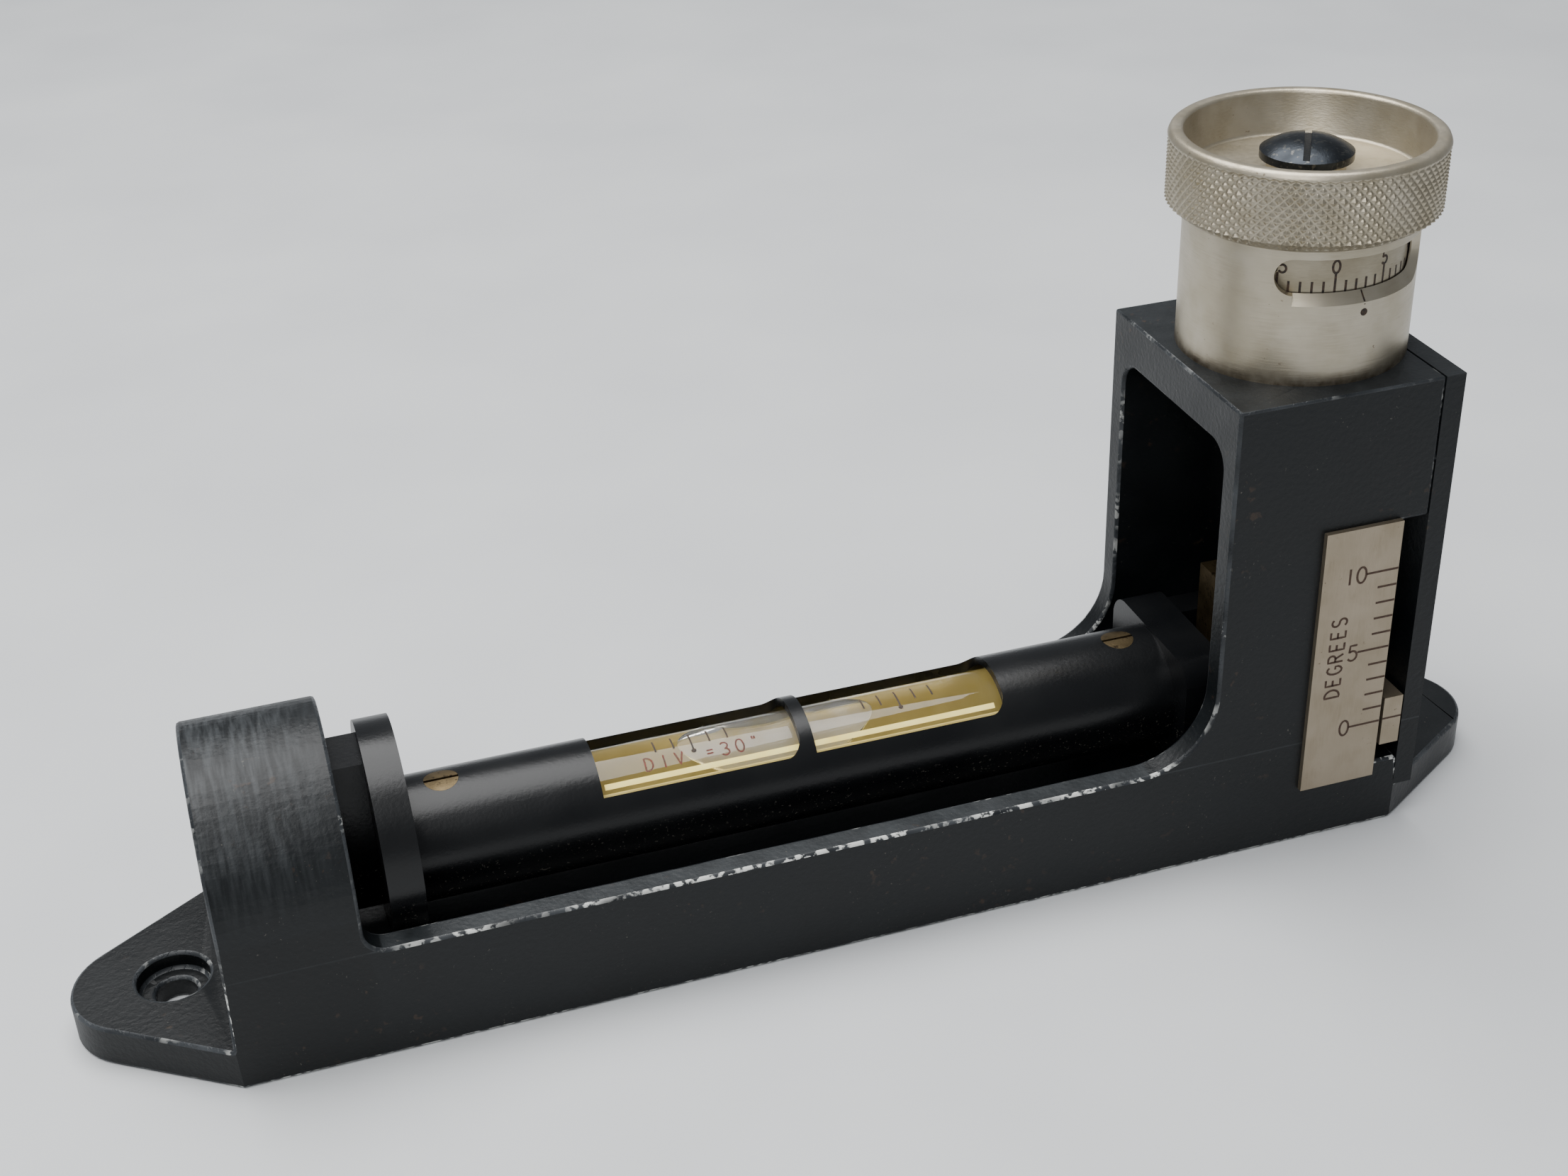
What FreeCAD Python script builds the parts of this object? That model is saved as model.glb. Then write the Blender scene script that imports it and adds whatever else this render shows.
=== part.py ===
import FreeCAD, Part
import os
import re
import Sketcher

# Micrometer inclinometer, in millimetres.
# The origin lies on the underside, midway between the two fixing holes. +X runs
# from the pivot post to the micrometer tower, +Y to the back and +Z up.

SIZES = {
    # Casting: base with its lugs, trough, pivot post and tower
    "hole_to_post": 6.8,
    "hole_to_end": 8.1,
    "hole_radius": 2.8,
    "counterbore_radius": 4.9,
    "counterbore_depth": 2.6,
    "lug_thickness": 6.0,
    "lug_tip_radius": 9.6,
    "lug_tip_reach": 3.9,
    "body_width": 37.4,
    "wall": 3.6,
    "rim_height": 17.3,
    "floor_height": 8.0,
    "post_length": 18.1,
    "post_height": 42.2,
    "heel_radius": 3.0,
    "tower_length": 30.4,
    "screw_to_end": 12.9,
    "tower_height": 72.2,
    "lintel": 6.7,
    "sweep_radius": 11.3,
    "opening_corner_radius": 3.8,
    "slot_floor_height": 11.1,
    "slot_height": 40.2,
    "slot_width": 8.1,
    "cover_thickness": 3.0,
    # Clearances
    "running_gap": 0.04,
    "side_gap": 0.3,
    "seat_gap": 0.02,
    # How far a cutter runs past the face it opens, or a boss into what it joins
    "overrun": 1.0,
    # Lever: pivot, tube and fork
    "pivot_inset": 10.2,
    "lever_length": 145.5,
    "axis_height": 20.0,
    "pivot_pin_radius": 2.0,
    "pivot_bush_radius": 3.2,
    "pin_depth": 12.0,
    "pocket_depth": 15.1,
    "pocket_height": 39.0,
    "tongue_thickness": 7.8,
    "tongue_nose_radius": 6.8,
    "tongue_height": 16.2,
    "tongue_length": 7.3,
    "flange_thickness": 4.7,
    "flange_radius": 14.6,
    "flange_rise": 3.4,
    "tongue_run": 12.1,
    "spigot_length": 10.0,
    "fork_inset": 18.7,
    "tube_radius": 8.75,
    "tube_wall": 1.15,
    "window_inset": 25.8,
    "window_end_inset": 25.5,
    "window_web": 1.9,
    "window_half_width": 7.1,
    "window_corner_radius": 2.2,
    "tube_screw_inset": 5.3,
    "tube_screw_head_radius": 2.35,
    "tube_screw_radius": 1.3,
    "tube_screw_low": 1.0,
    "tube_screw_slot_depth": 0.7,
    "fork_half_width": 12.0,
    "fork_height": 9.0,
    "fork_corner_radius": 3.6,
    "fork_web": 6.5,
    "fork_reach": 23.0,
    "fork_arm_height": 6.0,
    "fork_gap": 14.6,
    "fork_slot_length": 7.5,
    "fork_slot_play": 0.35,
    # Level vial
    "vial_radius": 6.9,
    "vial_wall": 1.3,
    "vial_inset": 14.0,
    "vial_end_wall": 2.5,
    "packing_length": 5.0,
    "liner_thickness": 0.45,
    "liner_inset": 7.0,
    "liner_roll": 22.0,
    "liner_rise": 2.2,
    "bubble_length": 29.0,
    "bubble_width": 8.2,
    "bubble_depth": 3.6,
    "bubble_shift": 2.6,
    # Travelling nut with its pins and index
    "nut_half_width": 6.6,
    "nut_left_reach": 7.5,
    "nut_right_reach": 6.8,
    "nut_low": 8.5,
    "nut_high": 9.5,
    "nut_horn_length": 3.3,
    "nut_horn_height": 14.5,
    "trunnion_radius": 2.0,
    "trunnion_length": 4.7,
    "trunnion_seat_depth": 2.0,
    "bracket_thickness": 2.4,
    "bracket_height": 8.0,
    "bracket_front": 13.0,
    "bracket_back": 6.0,
    "index_height": 8.0,
    "index_thickness": 3.0,
    "index_drop": 1.6,
    "index_proud": 0.7,
    "index_overlap": 4.0,
    "bracket_screw_radius": 1.2,
    "bracket_screw_head_radius": 2.2,
    "bracket_screw_head": 1.3,
    "bracket_screw_length": 4.0,
    # Scale plate
    "plate_width": 11.8,
    "plate_height": 42.4,
    "plate_thickness": 0.8,
    "plate_low": 9.3,
    "plate_to_edge": 4.3,
    # Micrometer head
    "thread_radius": 4.0,
    "screw_foot_radius": 2.5,
    "foot_bush_radius": 4.2,
    "foot_bush_length": 5.0,
    "thrust_gap": 0.05,
    "collar_radius": 6.5,
    "collar_thickness": 1.3,
    "washer_radius": 6.8,
    "washer_thickness": 0.4,
    "journal_radius": 5.0,
    "bush_radius": 7.0,
    "bush_flange_radius": 9.0,
    "bush_flange": 1.5,
    "lock_ring_radius": 7.6,
    "lock_ring_height": 3.0,
    "stem_radius": 4.0,
    "stem_top_gap": 0.3,
    "sleeve_radius": 15.7,
    "sleeve_wall": 1.2,
    "sleeve_height": 18.8,
    "sleeve_floor": 2.5,
    "sleeve_screw_circle": 11.9,
    "sleeve_screw_head_radius": 2.2,
    "sleeve_screw_radius": 1.2,
    "sleeve_screw_length": 7.0,
    "window_low": 12.7,
    "window_high": 17.7,
    "window_bevel": 1.4,
    "window_turn": 3.9,
    "window_half_angle": 36.0,
    "drum_gap": 0.2,
    "drum_skirt": 1.6,
    "drum_skirt_length": 13.5,
    "drum_web": 3.0,
    "drum_hub_radius": 7.0,
    "knob_radius": 18.3,
    "knob_height": 10.9,
    "knob_chamfer": 1.9,
    "knob_chamfer_rise": 1.33,
    "knob_rim": 2.1,
    "knob_floor": 4.7,
    "knob_boss_radius": 5.2,
    "knob_boss_height": 2.0,
    "knob_edge_round": 0.5,
    "knob_washer_radius": 5.6,
    "knob_washer_thickness": 0.3,
    "knob_screw_head_radius": 6.2,
    "knob_screw_head": 1.0,
    "knob_screw_dome": 2.0,
    "knob_screw_radius": 2.0,
    "knob_screw_length": 12.0,
    "knob_screw_tip_gap": 1.0,
    "knob_screw_slot_base": 0.3,
    "screwdriver_slot": 0.9,
    "knob_slot_turn": 31.0,
    "drive_pin_radius": 1.0,
    "drive_pin_circle": 10.0,
    "drive_pin_length": 5.0,
    "hub_pin_radius": 1.0,
    "hub_pin_rise": 3.0,
    # Cover screws
    "cover_screw_radius": 1.25,
    "cover_screw_head_radius": 1.7,
    "cover_screw_length": 9.0,
    "cover_screw_low": 8.6,
    "cover_screw_high": 60.0,
}

# Lengths that follow from the lever's length, so that the pieces keep together
FOLLOWING = {
    "body_length": "(pivot_inset + lever_length + screw_to_end)",
    "hole_spacing": "(hole_to_post + body_length + hole_to_end)",
    "tube_length": "(lever_length - tongue_run - flange_thickness - fork_inset)",
    "window_length": "((tube_length - window_inset - window_end_inset - window_web) / 2)",
    "vial_length": "(tube_length - 2 * vial_inset)",
    "liner_length": "(vial_length - 2 * liner_inset)",
}

# Places that several pieces share, as expressions of the sizes
POST_X = "(hole_to_post - hole_spacing / 2)"
END_X = f"({POST_X} + body_length)"
TOWER_X = f"({END_X} - tower_length)"
PIVOT_X = f"({POST_X} + pivot_inset)"
SCREW_X = f"({PIVOT_X} + lever_length)"
TUBE_X = f"({PIVOT_X} + tongue_run + flange_thickness)"
FORK_X = f"({TUBE_X} + tube_length)"
VIAL_X = f"({TUBE_X} + vial_inset)"
CHANNEL = "(body_width - 2 * wall)"
ARCH_Z = "(post_height - body_width / 2)"
CEILING_Z = "(tower_height - lintel)"
BUSH_TOP_Z = "(tower_height + bush_flange)"
RING_Z = f"({BUSH_TOP_Z} + thrust_gap)"
HUB_Z = f"({RING_Z} + lock_ring_height)"
KNOB_Z = "(tower_height + sleeve_height + side_gap)"
SEAT_Z = f"({KNOB_Z} + knob_floor + knob_boss_height)"
COLLAR_Z = f"({CEILING_Z} - washer_thickness - 2 * thrust_gap)"
DRUM_RADIUS = "(sleeve_radius - sleeve_wall - drum_gap)"

# Rough corners of a lug's outline, which its sizes then pull into place
ROUGH_LUG = [(-10, 9, 0), (-2, 3, 0), (-2, -3, 0), (-10, -9, 0)]
# Rough distance of a turned outline from its axis, before its sizes are set
ROUGH_RADIUS = 3

doc = FreeCAD.newDocument("inclinometer")
sheet = doc.addObject("Spreadsheet::Sheet", "Sizes")
for row, (word, value) in enumerate(SIZES.items(), start=1):
    sheet.set(f"A{row}", word)
    sheet.set(f"B{row}", str(value))
    sheet.setAlias(f"B{row}", word)
doc.recompute()

nodes = []


def cell(match):
    word = match[0]
    if word in FOLLOWING:
        return bound(FOLLOWING[word])
    return "Sizes." + word if word in SIZES else word


def bound(text):
    """An expression in which each size's word points to its cell."""
    return re.sub(r"[a-z_]+", cell, str(text))


def bind(item, **sizes):
    for name, text in sizes.items():
        item.setExpression(name, bound(text))
    return item


def place(item, x="0", y="0", z="0"):
    for way, text in zip("xyz", (x, y, z)):
        item.setExpression(f"Placement.Base.{way}", bound(text))
    return item


def box(name, x, y, z, length, width, height):
    """A block from its low corner."""
    item = doc.addObject("Part::Box", name)
    bind(item, Length=length, Width=width, Height=height)
    return place(item, x, y, z)


def slab(name, x, z, length, width, height):
    """A block that lies evenly about the middle plane, y = 0."""
    return box(name, x, f"-({width}) / 2", z, length, width, height)


def turned_to(item, way):
    """Turns an item that was made along +Z so that it runs along way."""
    turns = {
        "X": FreeCAD.Rotation(FreeCAD.Vector(0, 1, 0), 90),
        "Y": FreeCAD.Rotation(FreeCAD.Vector(1, 0, 0), -90),
        "Z": FreeCAD.Rotation(),
    }
    item.Placement = FreeCAD.Placement(FreeCAD.Vector(), turns[way])
    return item


def rod(name, way, x, y, z, radius, length):
    """A cylinder that starts at a point and runs along an axis."""
    item = turned_to(doc.addObject("Part::Cylinder", name), way)
    bind(item, Radius=radius, Height=length)
    return place(item, x, y, z)


def cone(name, way, x, y, z, radius, end_radius, length):
    item = turned_to(doc.addObject("Part::Cone", name), way)
    bind(item, Radius1=radius, Radius2=end_radius, Height=length)
    return place(item, x, y, z)


def fused(name, *items):
    item = doc.addObject("Part::MultiFuse", name)
    item.Shapes = list(items)
    item.Refine = True
    return item


def cut(name, base, *tools):
    item = doc.addObject("Part::Cut", name)
    item.Base = base
    item.Tool = tools[0] if len(tools) == 1 else fused(name + "_tools", *tools)
    item.Refine = True
    return item


def common(name, first, second):
    item = doc.addObject("Part::Common", name)
    item.Base = first
    item.Tool = second
    return item


def node(item):
    """Marks a finished sub-part, whose label names its file."""
    nodes.append(item)
    return item


def turned(name, profile, x="0", y="0", z="0", way="Z"):
    """A lathe-turned body from (radius, height) points about the axis."""
    body = doc.addObject("PartDesign::Body", name)
    sketch = body.newObject("Sketcher::SketchObject", name + "_profile")
    plane = [p for p in body.Origin.OriginFeatures if p.Role == "XZ_Plane"][0]
    sketch.AttachmentSupport = (plane, "")
    sketch.MapMode = "FlatFace"
    count = len(profile)
    start = [FreeCAD.Vector(ROUGH_RADIUS + i % 2, i, 0) for i in range(count)]
    for i in range(count):
        sketch.addGeometry(Part.LineSegment(start[i], start[(i + 1) % count]), False)
    for i in range(count):
        sketch.addConstraint(Sketcher.Constraint("Coincident", i, 2, (i + 1) % count, 1))
    for i, (radius, height) in enumerate(profile):
        if radius == "0":
            sketch.addConstraint(Sketcher.Constraint("PointOnObject", i, 1, -2))
        else:
            index = sketch.addConstraint(Sketcher.Constraint("DistanceX", -1, 1, i, 1, 1.0 + i))
            sketch.setExpression(f"Constraints[{index}]", bound(radius))
        if height == "0":
            sketch.addConstraint(Sketcher.Constraint("PointOnObject", i, 1, -1))
        else:
            index = sketch.addConstraint(Sketcher.Constraint("DistanceY", -1, 1, i, 1, 1.0 + i))
            sketch.setExpression(f"Constraints[{index}]", bound(height))
    turning = body.newObject("PartDesign::Revolution", name + "_turning")
    turning.Profile = sketch
    turning.ReferenceAxis = (sketch, ["V_Axis"])
    turning.Angle = 360
    turned_to(body, way)
    return place(body, x, y, z)


def concave_corner(name, x, z, radius, side):
    """The web that sweeps a level rim up to a wall: a block less a cylinder along Y.

    side is +1 where the wall stands at +X of the rim, and -1 at its other end.
    """
    low_x = x if side < 0 else f"{x} - {radius}"
    centre_x = f"{x} + {radius}" if side < 0 else f"{x} - {radius}"
    block = slab(name + "_block", low_x, z, radius, "body_width", radius)
    round_off = rod(name + "_round", "Y", centre_x, "-body_width", f"{z} + {radius}", radius,
                    "2 * body_width")
    return cut(name, block, round_off)


def lug(name, side):
    """A flat fixing lug: a taper from the body's full width to a round tip."""
    hole_x = f"({side} * hole_spacing / 2)"
    tip_x = f"({hole_x} + {side} * lug_tip_reach)"
    root_x = POST_X if side < 0 else END_X
    item = doc.addObject("PartDesign::Body", name)
    sketch = item.newObject("Sketcher::SketchObject", name + "_outline")
    plane = [p for p in item.Origin.OriginFeatures if p.Role == "XY_Plane"][0]
    sketch.AttachmentSupport = (plane, "")
    sketch.MapMode = "FlatFace"
    # The taper touches the tip's circle: distance to the tip and rise give its angle
    run = f"abs({tip_x} - {root_x})"
    reach = f"sqrt(({run}) ^ 2 + (body_width / 2) ^ 2)"
    turn = f"(acos(lug_tip_radius / {reach}) + atan(body_width / 2 / ({run})))"
    touch_x = f"{tip_x} - {side} * lug_tip_radius * cos({turn})"
    touch_y = f"lug_tip_radius * sin({turn})"
    corners = [
        (root_x, "body_width / 2"),
        (touch_x, touch_y),
        (touch_x, f"-({touch_y})"),
        (root_x, "-body_width / 2"),
    ]
    start = [FreeCAD.Vector(*corner) for corner in ROUGH_LUG]
    count = len(start)
    for i in range(count):
        sketch.addGeometry(Part.LineSegment(start[i], start[(i + 1) % count]), False)
    for i in range(count):
        sketch.addConstraint(Sketcher.Constraint("Coincident", i, 2, (i + 1) % count, 1))
    for i, (x, y) in enumerate(corners):
        for kind, text in (("DistanceX", x), ("DistanceY", y)):
            index = sketch.addConstraint(Sketcher.Constraint(kind, -1, 1, i, 1, 1.0 + i))
            sketch.setExpression(f"Constraints[{index}]", bound(text))
    pad = item.newObject("PartDesign::Pad", name + "_plate")
    pad.Profile = sketch
    pad.setExpression("Length", bound("lug_thickness"))
    tip = rod(name + "_tip", "Z", tip_x, "0", "0", "lug_tip_radius", "lug_thickness")
    return fused(name + "_outer", item, tip), hole_x


def fixing_hole(name, hole_x):
    through = rod(name + "_through", "Z", hole_x, "0", "-overrun", "hole_radius",
                  "lug_thickness + 2 * overrun")
    wide = rod(name + "_wide", "Z", hole_x, "0", "lug_thickness - counterbore_depth",
               "counterbore_radius", "counterbore_depth + overrun")
    return fused(name, through, wide)


def base_frame():
    left_lug, left_hole = lug("left_lug", -1)
    right_lug, right_hole = lug("right_lug", 1)
    base = slab("base_block", POST_X, "0", "body_length", "body_width", "rim_height")
    post_leg = slab("post_leg", POST_X, "0", "post_length", "body_width", ARCH_Z)
    post_arch = rod("post_arch", "X", POST_X, "0", ARCH_Z, "body_width / 2", "post_length")
    tower = slab("tower_block", TOWER_X, "0", "tower_length", "body_width", "tower_height")
    heel = concave_corner("heel", f"({POST_X} + post_length)", "rim_height", "heel_radius", -1)
    sweep = concave_corner("sweep", TOWER_X, "rim_height", "sweep_radius", 1)
    solid = fused("casting_solid", left_lug, right_lug, base, post_leg, post_arch, tower, heel, sweep)

    # The channel runs from the post to the tower's open end, under its lintel
    channel_x = f"({POST_X} + post_length)"
    channel_low = slab("channel_low", channel_x, "floor_height", "body_length - post_length + overrun",
                       CHANNEL,
                       f"{CEILING_Z} - floor_height - opening_corner_radius")
    crown_z = f"({CEILING_Z} - opening_corner_radius)"
    crown = slab("channel_crown", channel_x, f"{crown_z} - overrun",
                 "body_length - post_length + overrun",
                 f"{CHANNEL} - 2 * opening_corner_radius", "opening_corner_radius + overrun")
    crown_rounds = []
    for side, word in ((-1, "front"), (1, "back")):
        crown_rounds.append(rod(f"channel_round_{word}", "X", channel_x,
                                f"{side} * ({CHANNEL} / 2 - opening_corner_radius)", crown_z,
                                "opening_corner_radius", "body_length - post_length + overrun"))
    pocket = slab("tongue_pocket", f"{channel_x} - pocket_depth", "floor_height",
                  "pocket_depth + overrun",
                  "tongue_thickness + 2 * side_gap", "pocket_height - floor_height")
    pin_hole = rod("pivot_pin_hole", "Y", PIVOT_X, "-pin_depth", "axis_height",
                   "pivot_pin_radius + seat_gap", "body_width")
    slot = box("index_slot", f"{END_X} - slot_width", "-body_width / 2 - overrun", "slot_floor_height",
               "slot_width + overrun", "wall + 2 * overrun", "slot_height")
    bush_hole = rod("bush_hole", "Z", SCREW_X, "0", f"{CEILING_Z} - overrun", "bush_radius + seat_gap",
                    "lintel + 2 * overrun")
    foot_hole = rod("foot_bush_hole", "Z", SCREW_X, "0", "floor_height - foot_bush_length",
                    "foot_bush_radius + seat_gap", "foot_bush_length + overrun")
    tools = [channel_low, crown, *crown_rounds, pocket, pin_hole, slot, bush_hole, foot_hole]
    tools += [fixing_hole("left_hole", left_hole), fixing_hole("right_hole", right_hole)]
    for place_name, x, y in sleeve_screw_places():
        tools.append(rod(f"sleeve_thread_{place_name}", "Z", x, y,
                         "tower_height - sleeve_screw_length + sleeve_floor",
                         "sleeve_screw_radius + seat_gap", "sleeve_screw_length"))
    for place_name, y, z in cover_screw_places():
        tools.append(rod(f"cover_thread_{place_name}", "X",
                         f"{END_X} + cover_thickness - cover_screw_length", y, z,
                         "cover_screw_radius + seat_gap", "cover_screw_length"))
    return node(cut("base_frame", solid, *tools))


def sleeve_screw_places():
    """Three screws, evenly spaced about the micrometer's axis."""
    for word, angle in (("one", 30), ("two", 150), ("three", 270)):
        x = f"{SCREW_X} + sleeve_screw_circle * cos({angle} deg)"
        y = f"sleeve_screw_circle * sin({angle} deg)"
        yield word, x, y


def cover_screw_places():
    for height in ("low", "high"):
        for side, word in ((-1, "front"), (1, "back")):
            yield f"{height}_{word}", f"{side} * (body_width - wall) / 2", f"cover_screw_{height}"


def tower_cover():
    plate = slab("cover_plate", END_X, "lug_thickness", "cover_thickness", "body_width",
                 "tower_height - lug_thickness")
    holes = []
    for word, y, z in cover_screw_places():
        holes.append(rod(f"cover_hole_{word}", "X", f"{END_X} - overrun", y, z,
                         "cover_screw_radius + seat_gap", "cover_thickness + 2 * overrun"))
        holes.append(cone(f"cover_sink_{word}", "X",
                          f"{END_X} + cover_thickness - cover_screw_head_radius", y, z,
                          "seat_gap", "cover_screw_head_radius + seat_gap", "cover_screw_head_radius"))
    return node(cut("tower_cover", plate, *holes))


def sunk_screw(name, way, x, y, z, radius, head_radius, length):
    """A countersunk, slotted screw that points down its axis from its head's face at (x, y, z)."""
    axis = {"X": x, "Z": z}[way]
    shank_at, head_at = f"{axis} - {length}", f"{axis} - {head_radius}"
    slot_at = f"{axis} - screwdriver_slot"
    slot_y = f"{y} - screwdriver_slot / 2"
    if way == "X":
        shank = rod(name + "_shank", way, shank_at, y, z, radius, length)
        head = cone(name + "_head", way, head_at, y, z, "seat_gap / 2", head_radius, head_radius)
        slot = box(name + "_slot", slot_at, slot_y, f"{z} - 2 * {head_radius}", "2 * screwdriver_slot",
                   "screwdriver_slot", f"4 * {head_radius}")
    else:
        shank = rod(name + "_shank", way, x, y, shank_at, radius, length)
        head = cone(name + "_head", way, x, y, head_at, "seat_gap / 2", head_radius, head_radius)
        slot = box(name + "_slot", f"{x} - 2 * {head_radius}", slot_y, slot_at, f"4 * {head_radius}",
                   "screwdriver_slot", "2 * screwdriver_slot")
    return cut(name, fused(name + "_body", shank, head), slot)


def grouped(name, items):
    """Like fasteners as one sub-part of separate solids."""
    item = doc.addObject("Part::Compound", name)
    item.Links = list(items)
    return node(item)


def cover_screws():
    face = f"({END_X} + cover_thickness)"
    return grouped("cover_screws", [
        sunk_screw(f"cover_screw_{word}", "X", face, y, z, "cover_screw_radius",
                   "cover_screw_head_radius", "cover_screw_length")
        for word, y, z in cover_screw_places()])


def scale_plate():
    return node(box("scale_plate", f"{END_X} - plate_to_edge - plate_width",
                    "-body_width / 2 - plate_thickness",
                    "plate_low", "plate_width", "plate_thickness", "plate_height"))


def pivot_pin():
    return node(rod("pivot_pin", "Y", PIVOT_X, "-pin_depth", "axis_height", "pivot_pin_radius",
                    "body_width / 2 + pin_depth"))


def upper_bush():
    bore = "journal_radius + running_gap"
    return node(turned("upper_bush", [
        (bore, CEILING_Z),
        ("bush_radius", CEILING_Z),
        ("bush_radius", "tower_height"),
        ("bush_flange_radius", "tower_height"),
        ("bush_flange_radius", BUSH_TOP_Z),
        (bore, BUSH_TOP_Z),
    ], x=SCREW_X))


def foot_bush():
    bore = "screw_foot_radius + running_gap"
    low = "(floor_height - foot_bush_length)"
    return node(turned("foot_bush", [
        (bore, low),
        ("foot_bush_radius", low),
        ("foot_bush_radius", "floor_height"),
        (bore, "floor_height"),
    ], x=SCREW_X))


def micrometer_sleeve():
    inner = "(sleeve_radius - sleeve_wall)"
    top = "(tower_height + sleeve_height)"
    shell = turned("sleeve_shell", [
        ("bush_flange_radius + side_gap", "tower_height"),
        ("sleeve_radius", "tower_height"),
        ("sleeve_radius", top),
        (inner, top),
        (inner, "tower_height + sleeve_floor"),
        ("bush_flange_radius + side_gap", "tower_height + sleeve_floor"),
    ], x=SCREW_X)
    # The reading window: a sector of the wall with bevelled lower edge and round ends
    low = "(tower_height + window_low)"
    middle = "(tower_height + (window_low + window_high) / 2)"
    half = "((window_high - window_low) / 2)"
    outer = "(sleeve_radius + overrun)"
    sector = rod("window_sector", "Z", SCREW_X, "0", low, outer, "window_high - window_low")
    bevel = rod("window_bevel_sector", "Z", SCREW_X, "0", f"{low} - window_bevel", outer, "window_bevel")
    start = "window_turn - window_half_angle - 90"
    for item in (sector, bevel):
        item.setExpression("Angle", bound("2 * window_half_angle"))
        item.setExpression("Placement.Rotation.Yaw", bound(start))
    bevel_core = cone("window_bevel_core", "Z", SCREW_X, "0", f"{low} - window_bevel",
                      f"{inner} + sleeve_wall", inner, "window_bevel")
    tools = [sector, cut("window_lower_bevel", bevel, bevel_core)]
    for side, word in ((-1, "left"), (1, "right")):
        angle = f"(window_turn + {side} * window_half_angle - 90)"
        mouth = doc.addObject("Part::Cylinder", f"window_mouth_{word}")
        bind(mouth, Radius=half, Height="2 * sleeve_wall")
        mouth.Placement.Rotation = FreeCAD.Rotation(0, 90, 0)
        mouth.setExpression("Placement.Rotation.Yaw", bound(angle))
        place(mouth, f"{SCREW_X} + ({inner} - sleeve_wall) * cos({angle} * 1 deg)",
              f"({inner} - sleeve_wall) * sin({angle} * 1 deg)", middle)
        tools.append(mouth)
    # Only the right end is bevelled, up to the level of the window's top
    end = doc.addObject("Part::Cone", "window_end")
    bind(end, Radius1=half, Radius2=f"{half} + window_bevel", Height="sleeve_wall")
    end.Placement.Rotation = FreeCAD.Rotation(0, 90, 0)
    end.setExpression("Placement.Rotation.Yaw", bound(angle))
    place(end, f"{SCREW_X} + {inner} * cos({angle} * 1 deg)", f"{inner} * sin({angle} * 1 deg)", middle)
    below_top = slab("window_below_top", f"{SCREW_X} - 2 * sleeve_radius", "tower_height",
                     "4 * sleeve_radius",
                     "4 * sleeve_radius", "window_high")
    tools.append(common("window_end_bevel", end, below_top))
    for word, x, y in sleeve_screw_places():
        tools.append(rod(f"sleeve_hole_{word}", "Z", x, y, "tower_height - overrun",
                         "sleeve_screw_radius + seat_gap", "sleeve_floor + 2 * overrun"))
        tools.append(cone(f"sleeve_sink_{word}", "Z", x, y,
                          "tower_height + sleeve_floor - sleeve_screw_head_radius",
                          "seat_gap", "sleeve_screw_head_radius + seat_gap", "sleeve_screw_head_radius"))
    return node(cut("micrometer_sleeve", shell, *tools))


def sleeve_screws():
    face = "(tower_height + sleeve_floor)"
    return grouped("sleeve_screws", [
        sunk_screw(f"sleeve_screw_{word}", "Z", x, y, face, "sleeve_screw_radius",
                   "sleeve_screw_head_radius", "sleeve_screw_length")
        for word, x, y in sleeve_screw_places()])


def lead_screw():
    foot = "(floor_height - foot_bush_length + thrust_gap)"
    shoulder = "(floor_height + side_gap)"
    collar_low = f"({COLLAR_Z} - collar_thickness)"
    top = f"({SEAT_Z} - stem_top_gap)"
    spindle = turned("spindle", [
        ("0", foot),
        ("screw_foot_radius", foot),
        ("screw_foot_radius", shoulder),
        ("thread_radius", shoulder),
        ("thread_radius", collar_low),
        ("collar_radius", collar_low),
        ("collar_radius", COLLAR_Z),
        ("journal_radius", COLLAR_Z),
        ("journal_radius", RING_Z),
        ("stem_radius", RING_Z),
        ("stem_radius", top),
        ("0", top),
    ], x=SCREW_X)
    screw_hole = rod("stem_thread", "Z", SCREW_X, "0", f"{top} - knob_screw_length",
                     "knob_screw_radius + seat_gap", "knob_screw_length + overrun")
    return node(cut("lead_screw", spindle, screw_hole, hub_pin_tool("spindle_pin_hole")))


def hub_pin_tool(name):
    return rod(name, "X", f"{SCREW_X} - drum_hub_radius - overrun", "0", f"{HUB_Z} + hub_pin_rise",
               "hub_pin_radius + seat_gap", "2 * drum_hub_radius + 2 * overrun")


def ring(name, inner, outer, low, height):
    return node(turned(name, [
        (inner, low),
        (outer, low),
        (outer, f"{low} + {height}"),
        (inner, f"{low} + {height}"),
    ], x=SCREW_X))


def graduated_drum():
    bore = "stem_radius + seat_gap"
    web_low = f"({KNOB_Z} - drum_web)"
    shell = turned("drum_shell", [
        (bore, HUB_Z),
        ("drum_hub_radius", HUB_Z),
        ("drum_hub_radius", web_low),
        (f"{DRUM_RADIUS} - drum_skirt", web_low),
        (f"{DRUM_RADIUS} - drum_skirt", f"{KNOB_Z} - drum_skirt_length"),
        (DRUM_RADIUS, f"{KNOB_Z} - drum_skirt_length"),
        (DRUM_RADIUS, KNOB_Z),
        (bore, KNOB_Z),
    ], x=SCREW_X)
    holes = [drive_pin(f"drum_pin_hole_{word}", side, "drive_pin_radius + seat_gap")
             for word, side in (("left", -1), ("right", 1))]
    return node(cut("graduated_drum", shell, hub_pin_tool("drum_hub_pin_hole"), *holes))


def drive_pin(name, side, radius):
    return rod(name, "Z", f"{SCREW_X} + {side} * drive_pin_circle", "0",
               f"{KNOB_Z} - drive_pin_length / 2",
               radius, "drive_pin_length")


def drive_pins():
    return grouped("drive_pins", [drive_pin(f"drive_pin_{word}", side, "drive_pin_radius")
                                  for word, side in (("left", -1), ("right", 1))])


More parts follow.
